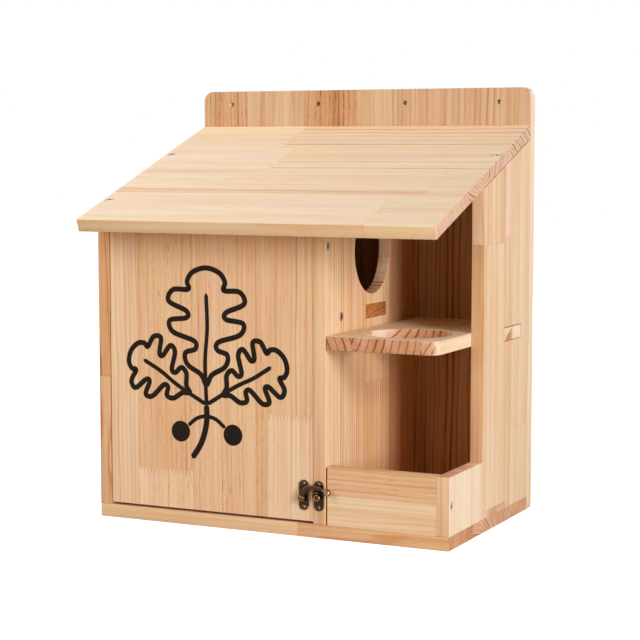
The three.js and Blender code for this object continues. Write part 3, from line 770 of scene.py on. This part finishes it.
door_slab = slab(rounded(rectangle(*DOOR), DOOR_ROUND), ease=DOOR_EASE)
door = add_piece("door_leaf", door_slab, FACING, door_pine, ["door_panel"], "door",
                 (0, BOARD, 0))
bore(door, (DOOR[0], PIVOT_Y, PIVOT_Z), RIGHT)
bore(door, (DOOR[2], PIVOT_Y, PIVOT_Z), -RIGHT)


# ---------------- print on the door
# A plain sprig of lobed leaves and berries, printed in black ink with a broad line. The ink
# lies a tenth of a millimetre proud of the wood, and each stroke a little over the last.

INK_WIDTH = 4.8
RIB_WIDTH = 3.9
STEM_WIDTH = 5.6
TWIG_WIDTH = 3.6
INK_TOP = 0.1
INK_STEP = 0.006
INK_SUNK = 0.04
INK_EASE = 0.03
FORK = np.array([114.0, 112.0])
STEM = ((0, 0), (0, -16), (-5, -34), (-15, -50))
BERRY = np.array([27.0, -26.0])
BERRY_RADIUS = 9.6
LEAVES = ((1.57, 18, 104, 1.1), (2.62, 20, 70, 1.15), (0.52, 20, 70, 1.15))
LOBES = np.array([
    [0.00, 0.00], [0.09, 0.05], [0.17, 0.17], [0.27, 0.19], [0.31, 0.10], [0.38, 0.11], [0.45, 0.30],
    [0.55, 0.33], [0.58, 0.18], [0.64, 0.18], [0.72, 0.34], [0.82, 0.30], [0.83, 0.16], [0.90, 0.17],
    [0.98, 0.12], [1.02, 0.00]])


def ink():
    """Matt black ink that the wood's fibres show through a little."""
    material, tree = new_material("door_ink")
    fibre = noise(field(tree, "TexCoord", output="Object"), (1500.0, 1500.0, 40.0), 2.0, 3.0)
    colour = ramp(fibre, [(0.3, linear(24, 17, 12)), (0.75, linear(40, 28, 20))])
    set_surface(colour, fibre * 0.3 + 0.4, fibre, 0.3, 0.00006, {"Specular IOR Level": 0.06})
    return material


def beside(path, closed=False):
    """The direction square to a path at each point, a quarter turn to the left of the way from
    the point before it to the point after."""
    way = np.roll(path, -1, 0) - np.roll(path, 1, 0) if closed else np.gradient(path, axis=0)
    way /= np.linalg.norm(way, axis=1, keepdims=True)
    return np.stack([-way[:, 1], way[:, 0]], 1)


def stroke(path, width=INK_WIDTH, closed=False):
    """A flat line of ink: a four-cornered section carried along a path in the door's plane,
    half the width to each side, drawn in to a half circle at each open end."""
    half = np.full(len(path), width / 2)
    if not closed:
        run = np.concatenate([[0], np.cumsum(np.linalg.norm(np.diff(path, axis=0), axis=1))])
        from_end = np.minimum(run, run[-1] - run) / (width / 2)
        half *= np.sqrt(np.clip(1 - (1 - np.clip(from_end, 0.02, 1)) ** 2, 0, 1))
    side = beside(path, closed) * half[:, None]
    corners = np.stack([path + side, path - side, path - side, path + side], 1)
    lift = np.broadcast_to([-INK_SUNK, -INK_SUNK, INK_TOP, INK_TOP], (len(path), 4))
    points = np.concatenate([corners, lift[..., None]], -1).reshape(-1, 3)
    quads = np.array(ring_quads(0, len(path) + closed, 4)) % len(points)
    faces = quads[:, ::-1].tolist()
    if not closed:
        last = len(points) - 4
        faces += [[0, 1, 2, 3], [last + 3, last + 2, last + 1, last]]
    return points, faces


def smooth_line(knots, closed=False, steps=12):
    """A smooth line through its knots: between two of them, the cubic whose ends run along
    half the way from the knot before to the knot after."""
    knots = np.asarray(knots, float)
    if closed:
        ring = np.concatenate([knots[-1:], knots, knots[:2]])
    else:
        ring = np.concatenate([2 * knots[:1] - knots[1:2], knots, 2 * knots[-1:] - knots[-2:-1]])
    way = np.linspace(0, 1, steps, endpoint=False)[None, :, None]
    p, q, r, s = ring[:-3, None], ring[1:-2, None], ring[2:-1, None], ring[3:, None]
    line = 0.5 * (2 * q + (r - p) * way + (2 * p - 5 * q + 4 * r - s) * way ** 2
                  + (3 * q - p - 3 * r + s) * way ** 3)
    line = line.reshape(-1, 2)
    return line if closed else np.concatenate([line, knots[-1:]])


def leaf(angle, stalk, length, breadth):
    """Strokes of a round-lobed leaf and of its midrib with the stalk. Both are drawn along a
    level line and turned by the angle round the fork."""
    side = LOBES * [length, length * breadth]
    outline = smooth_line(np.concatenate([side, side[-2:0:-1] * [1, -1]]), closed=True, steps=8)
    rib = smooth_line([[-stalk, 0], [0.2 * length, 0.012 * length], [0.5 * length, -0.01 * length],
                       [0.8 * length, 0]])
    turn = np.array([[math.cos(angle), math.sin(angle)], [-math.sin(angle), math.cos(angle)]])
    base = FORK + stalk * turn[0]
    return [stroke(outline @ turn + base, closed=True), stroke(rib @ turn + base, RIB_WIDTH)]


def joined(parts):
    """Points and faces of several meshes as one: each one's faces count on from the points
    before it."""
    firsts = np.cumsum([0] + [len(points) for points, _ in parts])
    faces = [[i + int(first) for i in face] for (_, made), first in zip(parts, firsts) for face in made]
    return np.concatenate([points for points, _ in parts]), faces


strokes = [line for each in LEAVES for line in leaf(*each)]
strokes.append(stroke(smooth_line(FORK + STEM), STEM_WIDTH))
for mirror in ([-1, 1], [1, 1]):
    berry = FORK + BERRY * mirror
    twig = [FORK + [0, -10], FORK + np.array([10, -13]) * mirror, berry + np.array([-8, 6]) * mirror]
    blot = slab(circle(*berry, BERRY_RADIUS, 48), INK_TOP + INK_SUNK, ease=INK_EASE)
    strokes += [(blot[0] - [0, 0, INK_SUNK], blot[1]), stroke(smooth_line(twig), TWIG_WIDTH)]
for layer, (points, _) in enumerate(strokes):
    points[points[:, 2] > 0, 2] += INK_STEP * layer
add_piece("door_print", (*joined(strokes), True), FACING, ink(), [], "door")


# ---------------- wood screws
# Countersunk zinc-plated screws with a cross recess, 32 mm long, turned flush into the boards.
# Their threads bite in the second board.

SCREW_LENGTH = 32.0
HEAD_RADIUS = 3.5
RIM = 0.4
CORE = 1.3
CREST = 1.75
CONE_END = RIM + HEAD_RADIUS - CREST
THREAD_START = 9.4
THREAD_END = 27.8
THREAD_PITCH = 1.6
RUN_OUT = 6.0
POINT_RADIUS = 0.05
CROSS = (2.3, 0.78, 1.6)
CROSS_NARROWING = 0.55
SUNK = 0.12
EAVE_Y = -36.0
BACK_HEADS_Z = (60.0, 299.92)


def recess_shaded(colour):
    """A metal's colour with painted shade: darkened where a screw's points say that it is hollow, most at
    the floor of the cross recess.
    """
    hollow = field(colour.tree, "Attribute", output="Fac", attribute_name="hollow")
    return veiled(colour, grey_ramp(hollow, [(0.0, 1.0), (0.4, 0.25), (1.0, 0.03)]))


def zinc_plate():
    """Bright zinc with faint turning marks and a cloudy finish, and painted shade in the cross recess."""
    material, tree = new_material("screw_zinc")
    place = field(tree, "TexCoord", output="Object")
    cloud = noise(place, (420.0,) * 3, 3.0, 1.0)
    fine = noise(place, (3000.0,) * 3, 2.0, 7.0)
    colour = ramp(cloud, [(0.3, linear(168, 158, 143)), (0.7, linear(222, 213, 196))])
    set_surface(recess_shaded(colour), fine * 0.3 + 0.38, fine, 0.2, 0.00003, {"Metallic": 1.0})
    return material


def cross(reach, arm):
    """Outline of a cross recess: four arms of one half width, anticlockwise."""
    quarter = np.array([[reach, -arm], [reach, arm], [arm, arm]])
    quarter_turn = np.array([[0, 1], [-1, 0]])
    return np.concatenate([quarter @ np.linalg.matrix_power(quarter_turn, k) for k in range(4)])


def screw(profile, reach, arm, recess, sides=24):
    """Rings of one number of points, each at its own radius and way along, from the rim of
    the head to the tip. The head's top is cut by a cross that narrows as it goes down. The
    last of what is given says how hollow each point is."""
    turn = once_round(sides)
    rings = [np.column_stack([arc((0, 0), r(turn)[:, None], turn), np.full(sides, w)]) for r, w in profile]
    mouth, top = cross(reach, arm), profile[0][1]
    well = [np.column_stack([mouth * share, np.full(len(mouth), w)])
            for share, w in ((1.0, top), (CROSS_NARROWING, top + recess))]
    points = np.concatenate(rings + well)
    first = sides * len(rings)
    mouth_loop = np.arange(first, first + len(mouth))
    floor_loop = mouth_loop + len(mouth)
    faces = ring_quads(0, len(rings), sides)
    smooth = len(faces)
    faces += np.array(ring_quads(first, 2, len(mouth)))[:, ::-1].tolist()
    faces += cap(points, [np.arange(sides), mouth_loop[::-1]], False) + cap(points, [floor_loop], False)
    faces.append(np.arange(first - sides, first).tolist())
    hollow = np.zeros(len(points))
    # How hollow each point is sets how deep the painted shade in the recess is.
    hollow[mouth_loop], hollow[floor_loop] = 0.12, 1.0
    return (points, faces, np.arange(len(faces)) >= smooth), hollow


def thread(way):
    """Radius of the shank at a way along: the crest's height falls to the core and back once
    in each pitch, and the start of each turn moves on with the angle."""
    def at(turn):
        wave = np.abs(((way / THREAD_PITCH - turn / (2 * math.pi)) % 1.0) * 2 - 1)
        height = (CREST - CORE) * min(1.0, (SCREW_LENGTH - way) / RUN_OUT)
        return CORE + height * np.clip(wave * 2 - 1, 0, 1)
    return at


def plain(radius):
    """The same radius all round."""
    return lambda turn: np.full(len(turn), float(radius))


wood_profile = [(plain(HEAD_RADIUS - 0.25), 0.05), (plain(HEAD_RADIUS), 0.2), (plain(HEAD_RADIUS), RIM),
                (plain(CREST), CONE_END), (plain(CREST), THREAD_START - THREAD_PITCH / 4)]
wood_profile += [(thread(w), w) for w in np.arange(THREAD_START, THREAD_END, THREAD_PITCH / 4)]
wood_profile += [(plain(CORE), 28.2), (plain(POINT_RADIUS), SCREW_LENGTH)]
wood_screw = screw(wood_profile, *CROSS)
zinc = zinc_plate()


def drive(name, head, direction, turned, made=wood_screw, sunk=SUNK, material=zinc,
          body="carcass"):
    """Sets a screw with its head at a point, driven in a direction, its cross turned."""
    side = np.cross(UP if abs(direction @ UP) < 0.9 else RIGHT, direction)
    side /= np.linalg.norm(side)
    u = side * math.cos(turned) + np.cross(direction, side) * math.sin(turned)
    mesh_parts, hollow = made
    piece = add_piece(name + "_set", mesh_parts, (u, np.cross(direction, u), direction), material,
                      [name], body, head + direction * sunk)
    piece.data.attributes.new("hollow", "FLOAT", "POINT").data.foreach_set("value", hollow)


def on_roof(x, y):
    """A place on the roof's upper face, found by how far to the right and how far back it is."""
    return placed(np.array([x, (y - EAVE_Y) / math.cos(SLOPE), BOARD]), ROOF_FOOT, ROOF_WAYS)


wood_screws = [
    ("roof_screw_left_front", on_roof(6, 11), -OFF_ROOF),
    ("roof_screw_left_back", on_roof(6, 125.5), -OFF_ROOF),
    ("roof_screw_right", on_roof(344, 125.5), -OFF_ROOF),
    ("door_pivot_left", (0, *DOOR_PIVOT), RIGHT),
    ("door_pivot_right", (DIVIDER_FACE, *DOOR_PIVOT), -RIGHT),
    ("tray_screw_right", (WIDTH, *TRAY_SCREW), -RIGHT),
    ("tray_screw_left", (DIVIDER_X, *TRAY_SCREW), RIGHT),
    ("nest_screw_left", (0, *NEST_SCREW), RIGHT),
    ("nest_screw_right", (DIVIDER_FACE, *NEST_SCREW), -RIGHT),
    ("feeder_screw_front", (DIVIDER_X, *FEEDER_SCREWS[0]), RIGHT),
    ("feeder_screw_back", (DIVIDER_X, *FEEDER_SCREWS[1]), RIGHT),
]
for place, (x, z) in zip(("left", "right"), BACK_FOOT_SCREWS):
    wood_screws.append((f"back_screw_floor_{place}", (x, BACK_FACE, z), FRONT))
for place, x in zip(("left", "middle", "right"), UPRIGHT_MIDDLES):
    wood_screws += [
        (f"back_screw_{place}_low", (x, BACK_FACE, BACK_HEADS_Z[0]), FRONT),
        (f"back_screw_{place}_high", (x, BACK_FACE, BACK_HEADS_Z[1]), FRONT),
        (f"floor_screw_{place}_front", (x, FLOOR_SCREWS_Y[0], 0), UP),
        (f"floor_screw_{place}_back", (x, FLOOR_SCREWS_Y[1], 0), UP),
    ]
luck = np.random.default_rng(7)
for name, head, direction in wood_screws:
    drive(name, head, direction, luck.uniform(0, math.pi))


# ---------------- latch plates
# Two stamped plates of dark antique bronze with round ends, one on the door and one on the
# divider's front edge, each held by two small screws.

PLATE_THICKNESS = 1.0
PLATE_EASE = 0.4
PLATE_SIZE = (9.8, 27.2)
LATCH_Z = 37.8
HASP_X = 212.4
CATCH_X = 227.0
EYE = np.array([211.4, 35.2])
POST = np.array([227.0, 36.8])
RIVET_HOLE = 1.6
POST_HOLE = 1.4
PIN_REACH = 10.4
PIN_HOLE = 1.1
PIN_CROSS = (0.75, 0.22, 0.45)
DARK_BRONZE = linear(40, 29, 21)
BRASS = linear(176, 146, 98)


def bronze(name, dark, worn, wear, rough_low, rough_high, handled=None):
    """Antique bronze: a dark cloudy skin, rubbed through to brass on its sharp places and round
    a place where it is handled, a point of the box with a reach. Where a screw's points are
    hollow it gets painted shade."""
    material, tree = new_material(name)
    place = field(tree, "TexCoord", output="Object")
    cloud = noise(place, (420.0,) * 3, 4.0, 2.0)
    fine = noise(place, (1600.0,) * 3, 3.0, 5.0)
    rubbed = (field(tree, "NewGeometry", output="Pointiness") - 0.5) * 7.0 + (cloud - 0.5) + wear
    if handled:
        middle, reach = handled
        away = field(tree, "VectorMath", {0: place, 1: tuple((np.array(middle) - ROW_ORIGIN) / 1000)},
                     "Value", operation="DISTANCE")
        rubbed = rubbed + grey_ramp(away / (2 * reach / 1000), [(0.4, 0.5), (0.6, 0.0)])
    colour = ramp(rubbed, [(0.0, dark), (0.3, tuple(np.array(dark) * 1.6)), (0.7, worn), (1.0, worn)])
    rough = grey_ramp(fine, [(0.3, rough_low), (0.7, rough_high)])
    set_surface(recess_shaded(colour), rough, cloud + fine, 0.6, 0.00015, {"Metallic": 1.0})
    return material


def round_ended(middle_x, middle_z, width, height, steps=12):
    """Two half circles joined by straight sides, anticlockwise."""
    top = arc((middle_x, middle_z + (height - width) / 2), width / 2, np.linspace(0, math.pi, steps + 1))
    return np.concatenate([top, [2 * middle_x, 2 * middle_z] - top])


plate_bronze = bronze("plate_bronze", DARK_BRONZE, BRASS, 0.06, 0.14, 0.4)
for name, middle, hole, body in (("hasp_plate", HASP_X, circle(*EYE, RIVET_HOLE, 20), "door"),
                                 ("catch_plate", CATCH_X, circle(*POST, POST_HOLE, 20), "carcass")):
    pin_holes = [circle(middle, LATCH_Z + rise, PIN_HOLE, 16) for rise in (-PIN_REACH, PIN_REACH)]
    plate = slab(round_ended(middle, LATCH_Z, *PLATE_SIZE), PLATE_THICKNESS, [hole, *pin_holes],
                 ease=PLATE_EASE)
    add_piece(name + "_stamped", plate, FACING, plate_bronze, [name], body)

pin_profile = [(plain(0.9), -0.72), (plain(1.35), -0.62), (plain(1.7), -0.35), (plain(1.8), 0.0),
               (plain(0.9), 0.02), (plain(0.9), 7.5), (plain(POINT_RADIUS), 9.0)]
pin = screw(pin_profile, *PIN_CROSS, sides=20)
for plate_name, x, body in (("hasp", HASP_X, "door"), ("catch", CATCH_X, "carcass")):
    for end_name, z in (("top", LATCH_Z + PIN_REACH), ("bottom", LATCH_Z - PIN_REACH)):
        drive(f"{plate_name}_screw_{end_name}", (x, -PLATE_THICKNESS, z), BACK, luck.uniform(0, math.pi),
              pin, 0.0, plate_bronze, body)


# ---------------- rivet and catch post
# The rivet that the arm turns on has a domed head rubbed to brass. The post on the other
# plate has a rolled rim and a dished end.

CREASE = math.radians(38)


def closed_rings(rings, low, high):
    """Faces over rows of closed loops, with fans to one point in the middle of each end."""
    rows, columns = rings.shape[:2]
    around = np.arange(columns)
    nearer = np.roll(around, -1)
    last, pole = (rows - 1) * columns, rows * columns
    faces = ring_quads(0, rows, columns)
    faces += np.stack([np.full(columns, pole), nearer, around], 1).tolist()
    faces += np.stack([last + around, last + nearer, np.full(columns, pole + 1)], 1).tolist()
    return np.concatenate([rings.reshape(-1, 3), [low, high]]), faces


def turned_piece(name, profile, middle, body, sides=40):
    """A profile of (radius, way forward) pairs carried once round an axis that runs forward;
    its first and last points lie on the axis."""
    turn = once_round(sides)
    radius, way = np.array(profile, float).T[..., None]
    rings = np.stack([radius * np.cos(turn), radius * np.sin(turn), way + 0 * turn], -1)[1:-1]
    made = (*closed_rings(rings, [0, 0, profile[0][1]], [0, 0, profile[-1][1]]), False)
    piece = add_piece(name + "_turned", made, FACING, worn_bronze, [name], body,
                      (middle[0], 0, middle[1]))
    piece.data.set_sharp_from_angle(angle=CREASE)


worn_bronze = bronze("worn_bronze", linear(66, 46, 28), linear(150, 118, 74), 0.2, 0.14, 0.32)

dome = arc((0, 4.75), (3.0, 1.65), np.linspace(0.1, math.pi / 2, 8)[:-1])
rivet_profile = [(0, 0), (1.4, 0), (1.4, 1.0), (2.6, 1.0), (2.6, 2.0), (1.4, 2.0), (1.4, 4.6), (2.7, 4.6),
                 (3.0, 4.75), *dome, (0, 6.4)]
turned_piece("hasp_rivet", rivet_profile, EYE, "door")

rolled_rim = arc((2.3, 4.8), 0.6, np.linspace(0, math.pi, 7)[1:])
post_profile = [(0, 0), (1.2, 0), (1.2, 1.0), (2.9, 1.0), (2.9, 4.8), *rolled_rim,
                (1.4, 4.35), (0.7, 4.2), (0, 4.15)]
turned_piece("catch_post", post_profile, POST, "carcass")


# ---------------- latch arm
# One casting: an eye round the rivet, an arm that rises over a crown and runs down to a ball
# for the finger, and a claw that hangs over the post.

ARM_MIDDLE = 3.3
ARM_HALF_DEPTH = 1.1
ARM_HALF_WIDTH = 2.9
EYE_RADIUS = 2.55
CLAW_RADIUS = 4.25
BALL = EYE + [25.7, 6.8]
BALL_MIDDLE = 4.4
BALL_RADIUS = 3.45
HANDLED_REACH = 4.6
CASTING_GRAIN = 0.00018


def bar(path, half_width, half_depth=ARM_HALF_DEPTH, steps=16, power=2.6):
    """A round-cornered bar: at each point of a path in the door's plane stands a
    superellipse, half_width across the path and half_depth forward and back. The ends close
    on a point."""
    section = arc((0, 0), 1, once_round(steps))
    across, forward = (np.sign(section) * np.abs(section) ** (2 / power)).T
    width = np.broadcast_to(half_width, len(path))[:, None, None]
    in_plane = path[:, None] + beside(path)[:, None] * across[None, :, None] * width
    height = np.broadcast_to(ARM_MIDDLE + forward * half_depth, in_plane.shape[:2])
    rings = np.concatenate([in_plane, height[..., None]], -1)
    return closed_rings(rings, [*path[0], ARM_MIDDLE], [*path[-1], ARM_MIDDLE])


def ball(centre, middle, radius, rows=24, columns=32):
    """A sphere as rings of latitude, closed at its poles."""
    latitude = np.linspace(-math.pi / 2, math.pi / 2, rows + 1)[1:-1, None]
    in_plane = arc(centre, radius * np.cos(latitude)[..., None], once_round(columns))
    height = np.broadcast_to(middle + radius * np.sin(latitude), in_plane.shape[:2])
    rings = np.concatenate([in_plane, height[..., None]], -1)
    return closed_rings(rings, [*centre, middle - radius], [*centre, middle + radius])


arm_bronze = bronze("arm_bronze", linear(56, 37, 29), BRASS, 0.12, 0.12, 0.34,
                    ((BALL[0], -ARM_MIDDLE, BALL[1]), HANDLED_REACH))
share = np.linspace(0.05, 1, 60)[:, None]
arm_line = ((1 - share) ** 3 * EYE + 3 * share * (1 - share) ** 2 * (EYE + [-1.5, 11])
            + 3 * share ** 2 * (1 - share) * (EYE + [14, 13]) + share ** 3 * BALL)
claw_turn = np.linspace(math.radians(62), math.radians(196), 30)
claw_width = np.concatenate([np.linspace(0.5, 1.0, 8), np.full(14, 1.0), np.linspace(1.0, 0.7, 8)])
casting = joined([
    bar(arm_line, ARM_HALF_WIDTH * (1 - 0.5 * share[:, 0] ** 2)),
    bar(arc(EYE, EYE_RADIUS, np.linspace(0, 2 * math.pi, 65)), 0.95),
    bar(arc(POST, CLAW_RADIUS, claw_turn), claw_width),
    bar(np.linspace([223.6, 45.2], [222.9, 38.6], 20), 1.05, 1.05),
    ball(BALL, BALL_MIDDLE, BALL_RADIUS),
])
arm = add_piece("latch_arm_cast", (*casting, False), FACING, arm_bronze, ["latch_arm"],
                "latch")
skin = arm.modifiers.new("one_casting", "REMESH")
skin.mode, skin.voxel_size, skin.use_smooth_shade = "VOXEL", CASTING_GRAIN, True
soft = arm.modifiers.new("cast_edges", "SMOOTH")
soft.factor, soft.iterations = 0.5, 3


# ---------------- stand, light and camera
# A plain pale floor and soft studio lamps: a broad one in front above the roof's edge, one
# high at the left, a smaller one low at the right that leaves the back of the feeding bay in
# the shade, and one behind.

FLOOR_REACH = 6.0
FLOOR_DROP = 0.0004
FLOOR_BOUNCE = (0.42, 0.35, 0.26, 1)
FLOOR_PALE = (0.78, 0.78, 0.78, 1)
AMBIENT = {"Color": (1.0, 0.6, 0.32, 1), "Strength": 0.09}
LAMP_AIM = (0, 0, 0.18)
LAMP_TINT = (0.985, 1.0, 1.035)
CAMERA_AIM = (0.0034, 0.01394, 0.18281)
CAMERA_AZIMUTH, CAMERA_RISE = 25.685, 5.492
CAMERA_DISTANCE = 1.67382
CAMERA_LENS = 100.443


def seen_straight(tree):
    """One for the rays that show the studio itself: the camera's, and those that metal mirrors
    or glass lets through."""
    camera, glossy, through = (field(tree, "LightPath", output=f"Is {kind} Ray")
                               for kind in ("Camera", "Glossy", "Transmission"))
    return camera.step("MAXIMUM", glossy.step("MAXIMUM", through))


def lit_floor():
    """Pale floor. What the camera sees of it is lifted to white, and the shadow stays."""
    material, tree = new_material("studio_floor")
    dull = field(tree, "BsdfDiffuse", {"Color": FLOOR_BOUNCE})
    pale = field(tree, "BsdfDiffuse", {"Color": FLOOR_PALE})
    place = field(tree, "TexCoord", output="Object")
    away = field(tree, "VectorMath", {0: place}, "Value", operation="LENGTH")
    lift = grey_ramp(away, [(0.3, 0.82), (1.0, 1.0)])
    glow = field(tree, "Emission", {"Color": (1, 1, 1, 1), "Strength": lift})
    bright = field(tree, "AddShader", {0: pale, 1: glow})
    floor = field(tree, "MixShader", {0: seen_straight(tree), 1: dull, 2: bright})
    add_node(tree, "OutputMaterial", {0: floor})
    return material


floor_mesh = bpy.data.meshes.new("studio_floor")
floor_square = rectangle(-FLOOR_REACH, -FLOOR_REACH, FLOOR_REACH, FLOOR_REACH)
floor_corners = np.column_stack([floor_square, np.full(4, -FLOOR_DROP)])
floor_mesh.from_pydata(floor_corners.tolist(), [], [[0, 1, 2, 3]])
floor_mesh.materials.append(lit_floor())
studio_floor = bpy.data.objects.new("studio_floor", floor_mesh)
bpy.context.scene.collection.objects.link(studio_floor)

world = bpy.data.worlds.new("studio")
bpy.context.scene.world = world
world.use_nodes = True
sky = world.node_tree
sky.nodes.clear()
ambient = field(sky, "Background", AMBIENT)
white = field(sky, "Background", {"Color": (1, 1, 1, 1), "Strength": 1.0})
blend = field(sky, "MixShader", {0: seen_straight(sky), 1: ambient, 2: white})
add_node(sky, "OutputWorld", {0: blend})


def aimed(name, data, aim, azimuth, rise, distance):
    """A lamp or camera that looks at a point from an angle round it and above it, in degrees."""
    turn, tilt = math.radians(azimuth), math.radians(rise)
    back = Vector((math.sin(turn) * math.cos(tilt), -math.cos(turn) * math.cos(tilt), math.sin(tilt)))
    made = bpy.data.objects.new(name, data)
    bpy.context.scene.collection.objects.link(made)
    made.location = Vector(aim) + back * distance
    made.rotation_mode = "QUATERNION"
    made.rotation_quaternion = (-back).to_track_quat("-Z", "Y")
    return made


def lamp(name, azimuth, rise, distance, width, height, level):
    """A soft lamp that lights a white card held square to it at the box to the given level.
    A lamp of power P at distance d gives P over pi squared d squared."""
    data = bpy.data.lights.new(name, "AREA")
    data.shape, data.size, data.size_y = "RECTANGLE", width, height
    data.energy = level * math.pi ** 2 * distance ** 2
    data.color = LAMP_TINT
    aimed(name, data, LAMP_AIM, azimuth, rise, distance)


lamp("front_lamp", -32, 26, 2.2, 1.2, 1.9, 0.43)
lamp("top_lamp", -72, 55, 1.2, 1.0, 0.9, 0.43)
lamp("right_lamp", 61, 12.6, 2.6, 0.85, 1.4, 0.87)
lamp("back_lamp", 180, 14, 2.6, 0.8, 1.2, 0.60)

camera_data = bpy.data.cameras.new("camera")
camera_data.lens, camera_data.sensor_width = CAMERA_LENS, 36.0
camera = aimed("camera", camera_data, CAMERA_AIM, CAMERA_AZIMUTH, CAMERA_RISE, CAMERA_DISTANCE)
bpy.context.scene.camera = camera
bpy.context.scene.view_settings.view_transform = "Standard"
